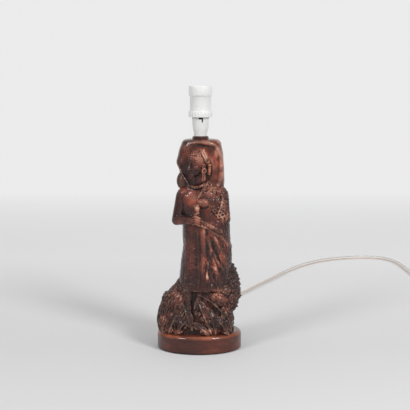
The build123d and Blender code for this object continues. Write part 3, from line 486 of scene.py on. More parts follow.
def spinOutline(outline, steps=192):  # a closed outline turned round the upright axis
    bm = bmesh.new()
    verts = [bm.verts.new((radius, 0, height)) for radius, height in outline]
    edges = [bm.edges.new(pair) for pair in zip(verts, verts[1:] + verts[:1])]
    bmesh.ops.spin(bm, geom=verts + edges, axis=(0, 0, 1), cent=(0, 0, 0), angle=2 * pi, steps=steps,
                   use_merge=True)
    bmesh.ops.recalc_face_normals(bm, faces=bm.faces)
    return bm


def holderPiece(name, bm, material, *replaced, sharp=None):
    bmesh.ops.scale(bm, vec=(mm, mm, mm), verts=bm.verts)
    piece = newPiece(name, bm, material, sharp=sharp)
    if replaced:
        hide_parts(*replaced)


def buildCap():
    slot = bmesh.new()
    face = slot.faces.new([slot.verts.new((x, cap["slotFront"], z)) for x, z in cap["slot"]])
    made = bmesh.ops.extrude_face_region(slot, geom=[face])
    bmesh.ops.translate(slot, verts=addedVerts(made), vec=(0, cap["slotDepth"], 0))
    bmesh.ops.recalc_face_normals(slot, faces=slot.faces)
    blanks = [newObject("blank", newMesh("blank", part)) for part in (spinOutline(cap["outline"]), slot)]
    subtract(*blanks)
    holderPiece("holderCap", settle(blanks), "holderPlastic", "holder_cap", sharp=32)


def buildTongueAndSlotShade():  # the black tongue behind the slot, a dark sheet that also paints the slot's shade
    bm = bmesh.new()
    for vert in bmesh.ops.create_grid(bm, x_segments=16, y_segments=8, size=1)["verts"]:
        turn = -pi / 2 + vert.co.x * slotShadeTongue["halfTurn"]
        vert.co = Vector((slotShadeTongue["radius"] * cos(turn), slotShadeTongue["radius"] * sin(turn),
                          slotShadeTongue["middle"] + slotShadeTongue["halfHeight"] * vert.co.y))
    bmesh.ops.solidify(bm, geom=list(bm.faces), thickness=slotShadeTongue["thickness"])
    bmesh.ops.recalc_face_normals(bm, faces=bm.faces)
    holderPiece("holderTongueAndSlotShade", bm, "insertPlastic")


def buildSkirt():
    foot, top = skirt["foot"], skirt["top"]
    bm = spinOutline([
        (9.3, foot), (11.6, foot), (13.2, foot + 0.2), (13.45, foot + 0.5), (13.45, foot + 3.2),
        (13.45, foot + 6), (13.2, foot + 6.4), (12.0, foot + 6.6), (11.85, foot + 7), (11.85, 275.8),
        (11.7, 276), (11.7, 276.4), (11.85, 276.6), (11.8, 286.9), (12.1, 287.5), (12.9, 288.2),
        (13.1, 288.7), (13.1, 292), (13.1, top - 1), (12.8, top - 0.2), (12.4, top), (9.9, top),
        (9.0, top - 0.9), (9.0, 270.8), (9.3, 270.6),
    ])
    for vert in bm.verts:  # knurls on the lower ring, flutes on the crown
        radius, turn = hypot(vert.co.x, vert.co.y), atan2(vert.co.y, vert.co.x)
        move = 0
        if radius > 12.5 and vert.co.z < 272:
            move = -skirt["knurlDepth"] * (0.5 + 0.5 * cos(turn * skirt["knurls"]))
        if radius > 12.5 and 288.5 < vert.co.z < 297:
            move = -skirt["fluteDepth"] * max(0, cos(turn * skirt["flutes"])) ** 6
        vert.co.xy *= 1 + move / radius
    holderPiece("holderSkirt", bm, "holderPlastic", "holder_skirt", sharp=32)


buildCap()
buildTongueAndSlotShade()
buildSkirt()
print("holder")


# carving: forms in millimetres, joined and given one skin of small voxels, then cut by moving the skin

def smoothRows(rows, perSpan=6):  # a smooth line through rows of numbers
    rows = [np.array(row, float) for row in rows]
    padded = [2 * rows[0] - rows[1]] + rows + [2 * rows[-1] - rows[-2]]
    line = []
    for a, b, c, d in zip(padded, padded[1:], padded[2:], padded[3:]):
        for t in np.arange(perSpan) / perSpan:
            line.append(0.5 * (2 * b + (c - a) * t + (2 * a - 5 * b + 4 * c - d) * t**2
                               + (3 * b - a - 3 * c + d) * t**3))
    return line + [rows[-1]]


def addBall(bm, place, radii, axes=None, detail=22):
    if isinstance(radii, (int, float)):
        radii = (radii,) * 3
    turn = Matrix(axes).transposed().to_4x4() if axes else Matrix.Identity(4)
    matrix = Matrix.Translation(place) @ turn @ Matrix.Diagonal((*radii, 1))
    bmesh.ops.create_uvsphere(bm, u_segments=detail, v_segments=detail * 2 // 3, radius=1, matrix=matrix)


def addLimb(bm, start, end, startRadius, endRadius, flat=1.0, facing=(0, -1, 0), detail=16):
    start, end = Vector(start), Vector(end)
    along = (end - start).normalized()
    across = along.cross(Vector(facing)).normalized()
    made = bmesh.ops.create_uvsphere(bm, u_segments=detail, v_segments=10, radius=1)["verts"]
    for vert in made:
        radius, shift = (endRadius, (end - start).length) if vert.co.z > 0.01 else (startRadius, 0)
        vert.co = Vector((vert.co.x * radius, vert.co.y * radius * flat, vert.co.z * radius + shift))
    turn = Matrix((across, along.cross(across), along)).transposed().to_4x4()
    bmesh.ops.transform(bm, verts=made, matrix=Matrix.Translation(start) @ turn)


def addRope(bm, points, startRadius, endRadius, flat=1.0, perSpan=5):
    line = smoothRows(points, perSpan)
    radii = np.linspace(startRadius, endRadius, len(line))
    for here, there, first, last in zip(line, line[1:], radii, radii[1:]):
        addLimb(bm, here, there, first, last, flat, detail=10)


def addRing(bm, centre, across, upright, thickness):
    turns = np.linspace(0, 2 * pi, 13)[:, None]
    points = np.array(centre) + np.cos(turns) * across + np.sin(turns) * upright
    addRope(bm, points, thickness, thickness, perSpan=1)


def addStack(bm, levels, corner, segments=64):  # rings bridged from foot to top
    rings = []
    for height, x, y, halfWidth, halfDepth in smoothRows(levels, 4):
        made = bmesh.ops.create_circle(bm, segments=segments, radius=1, cap_ends=False)["verts"]
        for vert in made:
            c, s = vert.co.x, vert.co.y
            vert.co = Vector((x + halfWidth * copysign(abs(c) ** (2 / corner), c),
                              y + halfDepth * copysign(abs(s) ** (2 / corner), s), height))
        rings.append(made)
    for lower, upper in zip(rings, rings[1:]):
        loops = []
        for ring in (lower, upper):
            inside = set(ring)
            loops += {edge for vert in ring for edge in vert.link_edges if edge.other_vert(vert) in inside}
        bmesh.ops.bridge_loops(bm, edges=loops)
    for ring in (rings[0], rings[-1]):
        bmesh.ops.contextual_create(bm, geom=ring)


def addLeaf(bm, root, tip, facing, width, thick=2.4, bow=2.0, veins=7):
    root, along = Vector(root), Vector(tip) - Vector(root)
    outward = Vector(facing)
    outward = (outward - along * (outward.dot(along) / along.length_squared)).normalized()
    across = along.cross(outward).normalized()
    made = bmesh.ops.create_grid(bm, x_segments=34, y_segments=18, size=0.5)["verts"]
    for vert in made:
        share, side = vert.co.x + 0.5, vert.co.y * 2
        half = width * 0.03
        if 0 < share < 1:
            half = width / 2 * (0.06 + 0.94 * sin(pi * share**0.72) ** 0.85)
        lift = bow * sin(pi * share) + 1.1 * (1 - side**2) + 0.9 * exp(-(side / 0.11) ** 2)
        lift += 0.17 * wave(share * veins - abs(side) * 1.1, 1) * min(1, 3 * abs(side))
        vert.co = root + along * share + across * (side * half) + outward * lift
    faces = list({face for vert in made for face in vert.link_faces})
    bmesh.ops.solidify(bm, geom=faces, thickness=thick)


def formsOf(piece):  # what a piece's dictionary lists
    bm = bmesh.new()
    if "levels" in piece:
        addStack(bm, piece["levels"], piece["corner"])
    for add, key in ((addBall, "balls"), (addLimb, "limbs"), (addRope, "ropes"), (addLeaf, "leaves")):
        for form in piece.get(key, ()):
            add(bm, *form)
    return bm


def skinForms(name, bm, voxel, smoothing, cutters):
    made = []
    for part in (bm, *cutters):
        bmesh.ops.scale(part, vec=(mm, mm, mm), verts=part.verts)
        bmesh.ops.recalc_face_normals(part, faces=part.faces)
        made.append(newObject(name + "Forms", newMesh(name + "Forms", part)))
    for cutter in [None] + made[1:]:  # a skin first, and again after each hollow
        if cutter:
            subtract(made[0], cutter)
        skin = made[0].modifiers.new("skin", "REMESH")
        skin.mode = "VOXEL"
        skin.voxel_size = voxel * mm
    skinned = settle(made)
    for _ in range(smoothing):
        bmesh.ops.smooth_vert(skinned, verts=skinned.verts, factor=0.5, use_axis_x=True, use_axis_y=True,
                              use_axis_z=True)
    return skinned


def cutFlat(bm, height):  # a flat foot, closed again
    made = bmesh.ops.bisect_plane(bm, geom=bm.verts[:] + bm.edges[:] + bm.faces[:], plane_no=(0, 0, -1),
                                  plane_co=(0, 0, height * mm), clear_outer=True)["geom_cut"]
    bmesh.ops.edgeloop_fill(bm, edges=[item for item in made if isinstance(item, bmesh.types.BMEdge)])


def giveAttribute(mesh, label, values):
    mesh.attributes.new(label, "FLOAT", "POINT").data.foreach_set("value", values)


def measureRelief(mesh):  # how far each point stands out of its surroundings, near and wide
    count = len(mesh.vertices)
    places, normals = np.empty(count * 3), np.empty(count * 3)
    pairs = np.empty(len(mesh.edges) * 2, dtype=int)
    mesh.vertices.foreach_get("co", places)
    mesh.vertex_normals.foreach_get("vector", normals)
    mesh.edges.foreach_get("vertices", pairs)
    places, normals = places.reshape(-1, 3), normals.reshape(-1, 3)
    first, second = pairs.reshape(-1, 2).T
    degree = np.bincount(first, minlength=count) + np.bincount(second, minlength=count)

    def blur(values, times):
        for _ in range(times):
            sums = [np.bincount(first, column[second], count) + np.bincount(second, column[first], count)
                    for column in values.T]
            values = np.array(sums).T / np.maximum(degree, 1)[:, None]
        return values

    near = blur(places, 4)
    for label, flattened, unit in (("relief", near, 0.16 * mm), ("broad", blur(near, 36), 0.8 * mm)):
        height = ((places - flattened) * normals).sum(axis=1) / unit
        giveAttribute(mesh, label, blur((0.5 + 0.5 * np.tanh(height))[:, None], 1)[:, 0])


thinAndLitPatches = (  # where the stain is thin, and where highlights and lit sides are painted in: x and height of the middle, half width, half height, how much
    (9, 237, 14, 3.5, 1.1), (23.5, 214, 5, 24, 1.1), (15.5, 216, 6, 17, 1.0), (1, 221, 11, 10, 1.35),
    (3.2, 227, 3, 4, 1.5), (6, 221.5, 3, 5, 1.6), (8.6, 215.5, 3, 4, 1.3), (10, 206, 2.4, 7, 1.2),
    (4, 206.6, 3.4, 3.4, 1.3), (3.5, 199, 3, 5, 1.1), (-17, 225, 9, 9, 0.4), (-8, 176, 10, 9, 1.15),
    (-18, 184, 6, 4, 1.0), (2.6, 172, 5, 5, 1.1), (3.3, 170, 7, 7, 1.0), (-3.6, 164.5, 3, 4, 1.6),
    (-4, 152, 5, 7, 1.2), (14, 184, 11, 8, 1.2), (8, 188, 8, 4, 0.8), (24, 168, 5, 13, 1.3),
    (24, 156, 8, 8, 1.35), (12, 162, 8, 9, 0.5), (-4, 177, 3, 12, 0.8), (2.4, 132, 2.6, 18, 1.05),
    (3.2, 104, 3.4, 12, 1.15), (7.2, 87.5, 1.8, 5, 1.6), (17, 97, 5, 12, 1.0), (24, 106, 5, 10, 0.85),
    (14, 130, 8, 12, 0.55), (10, 145, 10, 5, 0.9), (27, 122, 5, 10, 0.5), (-27, 62, 9, 8, 0.5),
    (18, 226, 3.6, 9, 1.5), (20, 66, 9, 6, 0.7), (30, 60, 9, 12, 0.6), (-28, 24.5, 11, 2.6, 1.0),
    (-42, 32, 4, 12, 0.7), (12, 25, 14, 3.5, 0.8), (5, 45, 6, 12, 0.35), (-12, 115, 6, 26, 0.35),
    (-10, 148, 8, 5, 0.4), (-24, 148, 5, 4, 0.5),
)


# each point's share of thin stain and painted highlight, from the patches
def measureThinningAndHighlight(mesh):
    places = np.empty(len(mesh.vertices) * 3)
    mesh.vertices.foreach_get("co", places)
    x, y, z = places.reshape(-1, 3).T / mm
    flush = np.zeros(len(x))
    for middleX, middleZ, halfX, halfZ, share in thinAndLitPatches:
        near = np.exp(-(((x - middleX) / halfX) ** 2 + ((z - middleZ) / halfZ) ** 2) ** 1.5)
        flush = np.maximum(flush, share * near * (y < 2))
    giveAttribute(mesh, "flush", flush)


def ramp(value, low, high):  # 0 below low, 1 above high, smooth between
    t = min(max((value - low) / (high - low), 0), 1)
    return t * t * (3 - 2 * t)


def wave(value, pitch):
    return sin(2 * pi * value / pitch)


def grit(place, size=1.0):
    return noise.noise(place / size)


def curls(place, size):
    return 0.55 - noise.voronoi(place / size)[0][0]


def strokes(place, across, along):  # long cuts that run down
    return 1 - 2.2 * abs(noise.noise(Vector((place.x / across, place.y / across, place.z / along))))


def gouges(place, size, along):  # broad tool marks, longer upwards
    return curls(Vector((place.x, place.y, place.z * along)), size)


plinthTop = 21.0


def carvingPiece(name, piece, bm, cut, cutters=()):  # cut moves each point along its normal, in millimetres
    skinned = skinForms(name, bm, piece["voxel"], piece["smoothing"], cutters)
    skinned.normal_update()
    moves = [cut(vert.co / mm, vert.normal) for vert in skinned.verts]
    for vert, move in zip(skinned.verts, moves):
        vert.co += vert.normal * (move * mm)
    if piece.get("onPlinth"):
        cutFlat(skinned, plinthTop)
    bmesh.ops.recalc_face_normals(skinned, faces=skinned.faces)
    made = newPiece(name, skinned, piece["wood"])
    measureRelief(made.data)
    measureThinningAndHighlight(made.data)
    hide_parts("carved_figure")
    print(name, len(made.data.polygons), "faces")


hood = {  # levels: height, middle x and y, half width, half depth
    "wood": "carvedWood", "voxel": 0.75, "smoothing": 2, "corner": 3.3,
    "levels": [
        (150, 2, 3, 26, 18), (176, 2, 3, 25.5, 18), (186, 3, 3, 23.5, 17.5), (192, 4.9, 2.8, 21.8, 17.5),
        (199, 3.7, 2.6, 22.9, 17.5), (206, 1.5, 2.4, 24.8, 17.6), (213, -0.4, 2.2, 26.5, 17.6),
        (219, -0.2, 2, 25.9, 17.3), (226, 0.2, 1.8, 24.6, 16.9), (232, 0.6, 1.6, 22.9, 16.2),
        (236.5, 0.8, 1.2, 21.3, 14.6), (238.7, 0.8, 0.8, 19.2, 12.6), (239.6, 0.6, 0.4, 14.5, 10.6)],
    "balls": [((-19.6, -4, 193.3), (7.4, 8.5, 10.5))],
    "ropes": [  # the flap's edge and the niche's rim
        ([(-25.6, -8, 214), (-23.3, -11.6, 207.5), (-19.9, -14.4, 201), (-16, -15.4, 195),
          (-12.8, -15.2, 189)], 1.2, 1.0),
        ([(-11, -11.8, 236), (-4, -13.2, 236.6), (5, -13.8, 236.4), (12.5, -12.6, 234.8), (18, -10.8, 230.6),
          (20.4, -9.8, 222), (21.8, -9.2, 212), (21, -9.2, 200), (18.8, -10, 190)], 1.4, 4.4)],
    "niche": ((4.6, -24, 207), (15.8, 11.6, 26.5)),
    "unevenness": 0.45, "flapCut": 0.34, "flapPitch": 2.0, "lobeCut": 0.2, "lobePitch": 1.9, "gouge": 0.55,
}


def buildHood():
    niche = bmesh.new()
    addBall(niche, *hood["niche"])

    def cut(place, normal):
        x, z = place.x, place.z
        move = hood["unevenness"] * grit(place, 9) + 0.08 * grit(place, 1.6)
        if z > 236.5:
            return move * 0.3
        if x < -12 and z > 190 and normal.y < 0.2:  # slanting cuts on the flap
            share = ramp(-x, 13, 19) * ramp(z, 196, 203) * (1 - ramp(z, 218, 226))
            move += share * hood["flapCut"] * wave(x * 0.8 + z * 0.62, hood["flapPitch"])
        if z < 203 and x < -12:
            move += hood["lobeCut"] * wave(z * 0.9 + x * 0.7, hood["lobePitch"])
        if normal.y > 0.1 or abs(normal.x) > 0.8:
            move += hood["gouge"] * gouges(place, 6.5, 0.4)
        return move

    carvingPiece("carvedHood", hood, formsOf(hood), cut, cutters=[niche])


head = {  # forms are placed to the side, forward and up of the centre; paired ones on both sides
    "wood": "carvedWood", "voxel": 0.36, "smoothing": 1,
    "centre": (-2.2, -14.4, 216.6), "forward": (-0.8, -0.6, -0.1), "lean": (-0.04, 0, 1),
    "masses": [((0, -0.6, 0.6), (10.2, 12.2, 12.4)), ((0, 4.4, -6.6), (7.8, 7.4, 9.4)),
               ((0, 5.8, -11.6), (5.8, 5.6, 4.8)), ((0, 9.9, -14.6), (2.5, 2.5, 2.5))],
    "pairedMasses": [((1.4, 12.4, -7.3), (1.1, 1.3, 0.9)), ((3.7, 9.1, -1.6), (2.2, 1.9, 1.6)),
                     ((4.4, 7.2, -6.4), (3.7, 3.8, 3.6)), ((9.4, 0.4, -6.2), (1.2, 2.2, 3.4))],
    "lines": [([(0, 10.9, 1.2), (0, 12.2, -3.2), (0, 13.9, -6.8)], 1.1, 1.7),
              ([(-2.6, 10.6, -10.5), (-0.8, 12.0, -9.9), (0, 12.1, -10.1), (0.8, 12.0, -9.9),
                (2.6, 10.6, -10.5)], 0.6, 0.6),
              ([(-2.2, 10.4, -11.3), (0, 11.9, -11.6), (2.2, 10.4, -11.3)], 0.75, 0.75)],
    "pairedLines": [([(1.4, 11.2, 1.2), (4.2, 10.4, 2.0), (6.9, 8.0, 0.8)], 0.8, 0.7),
                    ([(1.9, 10.7, -1.4), (3.8, 10.9, -0.4), (5.8, 9.2, -1.5)], 0.42, 0.42),
                    ([(2.0, 10.5, -2.0), (3.9, 10.5, -2.9), (5.7, 9.2, -2.0)], 0.35, 0.35),
                    ([(10, 1.6, -8.6), (10.3, -1.3, -6), (10.3, -0.6, -3.4), (10, 1.7, -3.6)], 0.7, 0.6)],
    "neck": ((0, 0, -6), (0.5, -9.5, 186), 6.2, 7.0),
    "hair": 0.6, "curl": 1.7, "curlSize": 2.1,
}
ornament = {  # two strands from the parting, a knot, a lock of hair, an ear ring and its pendants
    "balls": [((9.9, -19.6, 212.3), (2.3, 2.2, 1.8))]
    + [((10 - 0.1 * k, -18.6 + 0.2 * k, 209.8 - 1.9 * k), (1.7, 1.5, 1.25)) for k in range(5)],
    "ropes": [([(x, y, 228.2), (x + 2.4, y - 2.6, 224.2), (x + 4.6, y - 3.4, 219.6),
                (x + 6.4, y - 2.4, 215.4)], 1.15, 1.2) for x, y in ((0.4, -20.2), (2.7, -19.2))]
    + [([(x, -22.4, 203.6), (x + 0.2, -21.4, 200), (x, -20.6, 196.4)], 0.75, 0.95) for x in (2.4, 4.6)],
    "ring": ((4.0, -23.2, 206.6), (2.2, 0, 0), (0, 0.5, 2.5), 0.55), "middle": (5.5, -21.3, 221.5),
}


def buildHead():
    forward, lean = Vector(head["forward"]).normalized(), Vector(head["lean"])
    up = (lean - forward * forward.dot(lean)).normalized()
    side = forward.cross(up)  # towards the ear that shows
    if side.y > 0:
        side = -side
    axes, centre = (side, forward, up), Vector(head["centre"])

    def at(place, hand=1):
        return centre + side * (place[0] * hand) + forward * place[1] + up * place[2]

    bm = formsOf(ornament)
    addRing(bm, *ornament["ring"])
    foot, top, *radii = head["neck"]
    addLimb(bm, at(foot), top, *radii)
    for prefix, hands in (("masses", (1,)), ("pairedMasses", (-1, 1))):
        for place, radii in head[prefix]:
            for hand in hands:
                addBall(bm, at(place, hand), radii, axes)
    for prefix, hands in (("lines", (1,)), ("pairedLines", (-1, 1))):
        for points, *radii in head[prefix]:
            for hand in hands:
                addRope(bm, [at(point, hand) for point in points], *radii)

    def cut(place, normal):
        x, z = place.x, place.z
        away = place - centre
        s, f, u = away.dot(side), away.dot(forward), away.dot(up)
        share = 0
        if z >= 201:
            share = ramp(u - (0.35 * f - 0.6), -0.5, 0.5) * ramp(away.length, 9.5, 11)
        bare = ramp(3.0 - (place - Vector(ornament["middle"])).length / 3.4, 0, 0.6) * ramp(x, -0.5, 1)
        move = share * (head["hair"] + head["curl"] * curls(place, head["curlSize"]))
        return move * (1 - 0.85 * bare * ramp(s, 7.5, 9)) + 0.05 * grit(place, 1.2)

    carvingPiece("carvedHead", head, bm, cut)


torso = {
    "wood": "carvedWood", "voxel": 0.5, "smoothing": 2, "corner": 2.3,
    "levels": [
        (140, 6, -2.5, 25.5, 20.5), (152, 4, -3, 24.5, 20), (164, 2.5, -4, 25.5, 18.5),
        (174, 1.5, -5, 25, 16.5), (182, 1, -5.5, 22, 13.5), (187, 1.5, -6, 15, 10), (190, 1.5, -7, 8.5, 8)],
    "balls": [  # shoulder, chest, elbow; palm; the vessel's lip and body
        ((-17.9, -8.5, 178.8), (8.6, 8.6, 8.0)), ((-10.2, -13.5, 173), (11.2, 6.4, 9.8)),
        ((-26.4, -10, 149.2), (6.0, 6.2, 5.6)), ((-4.4, -24.8, 150.8), (4.2, 3.6, 5.6)),
        ((-3.6, -26, 165.6), (3.0, 2.8, 3.2)), ((3.0, -23.2, 170.6), (6.9, 5.4, 5.3))],
    "limbs": [((-19.7, -8.5, 177), (-25.8, -9.5, 152), 7.8, 6.3),
              ((-25, -12, 150.3), (-8, -23.6, 151), 6.0, 4.6),
              ((-3.6, -25, 157), (-3.2, -25.8, 167.5), 2.7, 2.4)],
    "ropes": [([(-2, -15.4, 187.5), (-8, -14.9, 185), (-15, -12.4, 184.4)], 1.8, 1.5),
              ([(-6.5, -25.5, 157.5), (-4.4, -28, 159.2), (-1.9, -27.3, 160.4)], 1.6, 1.2)],
    "fingers": 4, "fingerFoot": 146.6, "fingerPitch": 2.65,
    "beads": 11, "beadRadius": 1.75, "neckRadius": 9.2,
}


def buildTorso():
    bm = formsOf(torso)
    for finger in range(torso["fingers"]):
        z = torso["fingerFoot"] + torso["fingerPitch"] * finger
        addRope(bm, [(-8.2, -25.6, z + 0.4), (-5.4, -28.6, z + 1.6), (-1.6, -28.4, z - 0.2),
                     (-0.2, -26, z - 1.2)], 1.5, 1.25, perSpan=3)
    for turn in np.linspace(-2.75, 0.35, torso["beads"]):
        along = torso["neckRadius"] * cos(turn)
        addBall(bm, (-1.5 + along, -10.5 + 9.8 * sin(turn), 191.6 + 3.2 * sin(turn) + 0.25 * along),
                torso["beadRadius"], detail=12)
    carvingPiece("carvedTorso", torso, bm, lambda place, normal: (
        0.1 * grit(place, 5) + 0.04 * grit(place, 1.1)))


shawl = {
    "wood": "toothedWood", "voxel": 0.5, "smoothing": 1,
    "balls": [((14, -12.5, 166), (13.8, 10.5, 17))],
    "limbs": [((7, -10.5, 187), (20, -9.5, 179), 8.4, 9.2), ((20.5, -9, 177.5), (24, -8.5, 152), 10.6, 10.0),
              ((3, -11, 182), (10, -12.5, 160), 8.5, 10.5),
              ((5.0, -12.4, 185.5), (-3.2, -15.8, 167), 6.6, 6.6)],
    "ropes": [  # the cord on the shoulder, the rolled edges under the hand
        ([(23.4, -19.5, 179.5), (24.4, -20.3, 173), (22.6, -21.8, 166), (20.6, -22.4, 161)], 1.3, 1.0),
        ([(-1, -24, 149.5), (6, -24.6, 147.5), (13, -23.8, 143), (20, -20.8, 139), (27, -15.5, 137)],
         2.2, 2.6, 0.6),
        ([(0.5, -24.2, 146), (7, -24.2, 143), (13.5, -23, 138.5), (19, -20.8, 133.5)], 1.4, 1.5)],
    "rosettes": [  # x, height, radius
        (15.6, 162, 1.7), (19.2, 163.5, 1.6), (18, 159, 1.9), (22.2, 159.5, 1.7), (25.6, 161.2, 1.6),
        (20.8, 155.4, 1.8), (24.8, 156.4, 1.9), (28.6, 157.2, 1.6), (23.6, 152, 1.6), (27.4, 152.6, 1.9),
        (30.8, 152.6, 1.5), (29.6, 148.6, 1.5)],
    "fleece": 1.3, "fleeceSize": 2.9, "edge": 0.8,
}


def buildShawl():
    bm = formsOf(shawl)
    for x, z, radius in shawl["rosettes"]:
        y = -23 + 0.32 * max(x - 17, 0) ** 1.25
        addRing(bm, (x, y, z), (radius, 0.35, 0), (0, 0, radius), 0.62)
        addBall(bm, (x, y + 0.5, z), 0.55, detail=10)

    def cut(place, normal):
        x, z = place.x, place.z
        panel = ramp(x, 9.5, 11.5) * (1 - ramp(x, 18.5, 20.5)) * ramp(z, 165, 168) * (1 - ramp(z, 177, 180))
        inside = (x - 5.8) * 0.86 - (z - 191) * 0.51  # from the slanting front edge
        fleece = ramp(z, 150, 155) * (1 - panel) * ramp(inside, 0, 3) * (1 - 0.4 * ramp(170 - z, 0, 8))
        fleece *= 1 - ramp(x, 13, 15) * (1 - ramp(z, 165, 168))
        locks = shawl["fleece"] * max(curls(place, shawl["fleeceSize"]), -0.12)
        move = fleece * (locks + 0.6 * grit(place, 1.3))
        move += 0.4 * grit(place, 3.4) + shawl["edge"] * (1 - ramp(abs(inside - 0.6), 0.8, 2.2))
        move += (1 - ramp(z, 150, 158)) * 0.25 * strokes(place, 2.6, 9)
        return move + 0.06 * grit(place)

    carvingPiece("carvedShawl", shawl, bm, cut)


robe = {
    "wood": "carvedWood", "voxel": 0.6, "smoothing": 1, "corner": 2.35,
    "levels": [
        (69.6, 4.6, -1.5, 27.6, 23.6), (71.5, 4.7, -1.6, 28.8, 24.6), (80, 4.8, -1.5, 28.6, 24.0),
        (90, 5.6, -1.5, 28.6, 23.4), (99, 6.5, -1.5, 28.4, 23), (107, 7.2, -1.5, 28.1, 22.6),
        (121, 7.4, -1.5, 26.9, 22), (132, 6.4, -1.8, 26.6, 21.6), (143, 6.2, -2.2, 26.5, 21),
        (152, 5, -2, 25, 19.5), (160, 3, -1, 23, 17)],
    "balls": [((7.3, -25, 86.6), (1.5, 1.4, 2.0))],
    "folds": [  # top x and height, bottom x and height, half width, how far it stands out
        (4.6, 146, 3.6, 112, 2.2, 0.9), (6.5, 134, 13, 110, 2.7, 1.0), (13, 110, 17.5, 90, 2.8, 1.2),
        (8.5, 128, 24, 94.5, 1.9, 1.1), (14, 134, 31, 103, 2.6, 0.9), (22, 134, 35, 116, 2.3, 0.8),
        (9, 104, 12.5, 74, 2.6, 0.8), (17, 100, 23, 76, 2.8, 1.0), (26, 104, 30, 82, 2.5, 0.9),
        (-15.5, 144, -17.5, 74, 2.0, 0.35), (-20.5, 132, -23, 74, 1.8, 0.5), (-2.2, 142, -3.2, 74, 1.3, 0.5),
        (7.2, 104, 8.2, 85.5, 1.2, 1.2)],
    "weave": 0.28, "weavePitch": 2.0, "fringe": 0.42, "fringePitch": 1.9, "backFolds": 0.8, "hem": 0.9,
}


def buildRobe():
    def frontCut(place):
        x, z = place.x, place.z
        move = 0
        for x0, z0, x1, z1, half, height in robe["folds"]:
            share = (z0 - z) / (z0 - z1)
            if -0.12 < share < 1.12:
                off = (x - (x0 + (x1 - x0) * share + 0.8 * sin(share * 5 + x0))) / half
                fade = ramp(share, -0.1, 0.14) * (1 - ramp(share, 0.86, 1.1))
                move += fade * height * (exp(-off * off) - 0.45 * exp(-(off - 1.7) ** 2))
        weave = (1 - ramp(x, -2.5, 0)) * (1 - ramp(z, 140, 147))
        move += weave * robe["weave"] * wave(z, robe["weavePitch"]) * (0.6 + 0.8 * grit(place, 4))
        move += weave * (0.1 * wave(x, 1.7) + 0.35 * grit(place, 3.2))
        fringe = ramp(x, -0.5, 0.5) * (1 - ramp(x, 6, 7.5)) * ramp(z, 86, 89)
        fringe *= 1 - ramp(z, 114, 119)
        threads = wave(x + 0.5 * sin(z / 3), robe["fringePitch"])
        move += fringe * (robe["fringe"] * threads + 0.3 * grit(place, 1.3))
        plain = ramp(x, 6, 9)
        move += plain * 0.4 * strokes(place - Vector((0.35 * (140 - z), 0, 0)), 2.9, 9)
        low = 1 - ramp(z, 98, 108)
        return move + plain * (low * 0.5 * curls(place, 3.2) + 0.3 * grit(place, 1.7))

    def cut(place, normal):
        x, y, z = place
        move = 0.35 * grit(place, 7) + 0.07 * grit(place)
        if normal.y < 0.35 and z < 150:
            move += frontCut(place)
        else:  # long shallow folds and gouge marks round the back
            turn = atan2(y + 1.5, x - 5)
            ripple = cos(turn * 9 + 0.6 * sin(z / 17))
            move += robe["backFolds"] * ripple * (1 - ramp(z, 138, 150)) + 0.5 * gouges(place, 6, 0.35)
        hem = robe["hem"] * (1 - ramp(z, 71, 74))
        return move + hem * (grit(place, 5) - ramp(x, 4, 10))

    carvingPiece("carvedRobe", robe, formsOf(robe), cut)


leftBrush = {
    "wood": "toothedWood", "voxel": 0.65, "smoothing": 1, "onPlinth": True, "corner": 2.15,
    "levels": [
        (19, -25, 0, 22.2, 21), (26, -26, 0, 22.8, 22), (34, -26.8, 0, 22.7, 22.4),
        (45, -25.6, -0.5, 21.7, 21.5), (55, -23.3, -0.5, 20.4, 20), (62, -20.6, 0, 18.6, 18.5),
        (70, -17.2, 0.5, 14.9, 16), (77, -14.2, 1, 11.9, 13.5), (85, -12, 2, 9.2, 11)],
    "tufts": 9, "tuftTurn": 150, "tuftStep": 17, "middle": -25.5, "reach": 20.5, "strokes": 0.85,
}


def buildLeftBrush():
    bm = formsOf(leftBrush)
    for index in range(leftBrush["tufts"]):
        turn = radians(leftBrush["tuftTurn"] + leftBrush["tuftStep"] * index)
        x = leftBrush["middle"] + leftBrush["reach"] * cos(turn)
        y = leftBrush["reach"] * sin(turn)
        addLimb(bm, (x * 0.86 - 2, y * 0.8, 61 - 1.3 * index), (x, y * 1.04, 39 - 1.5 * index), 2.6, 1.6, 0.7,
                (cos(turn), sin(turn), 0))

    def cut(place, normal):
        x, y, z = place
        swirl = place + Vector((0.35 * (60 - z) + 1.6 * grit(place, 7), 0, 0))
        turn = atan2(y, x - leftBrush["middle"])
        move = leftBrush["strokes"] * strokes(swirl, 1.8, 8) + 0.7 * grit(place, 6)
        return move + 0.2 * sin(z / 2.1 + 3.2 * sin(turn * 5)) + 0.1 * grit(place, 0.9)

    carvingPiece("carvedLeftBrush", leftBrush, bm, cut)


rightBrush = {
    "wood": "toothedWood", "voxel": 0.65, "smoothing": 0, "onPlinth": True, "corner": 2.2,
    "levels": [
        (19, 15, 0, 20, 21), (29, 15.5, 0, 20.4, 21.6), (36, 16, 0, 20.4, 21.6), (43, 16.5, 0, 21, 21.2),
        (50, 19.6, 0.5, 22.6, 20.8), (57, 20.2, 1, 23.8, 20.4), (64, 21, 1.5, 24.6, 20),
        (72, 20.8, 2, 24.2, 19.4), (79, 20.3, 2.5, 23.4, 18.4), (86, 19.3, 3, 22.6, 17.4),
        (92, 18, 3.5, 21.6, 16), (98, 15.6, 4, 18.6, 14), (103, 12.6, 4, 13.5, 11)],
    "balls": [((17, -14.5, 60), (15, 10.5, 12.5)), ((26, -13, 70), (9, 9, 10))],
    "teethFrom": 3, "teethTurns": (-72, 100, 19), "toothRadii": (2.5, 0.8), "toothReach": (1.4, 3.3),
}


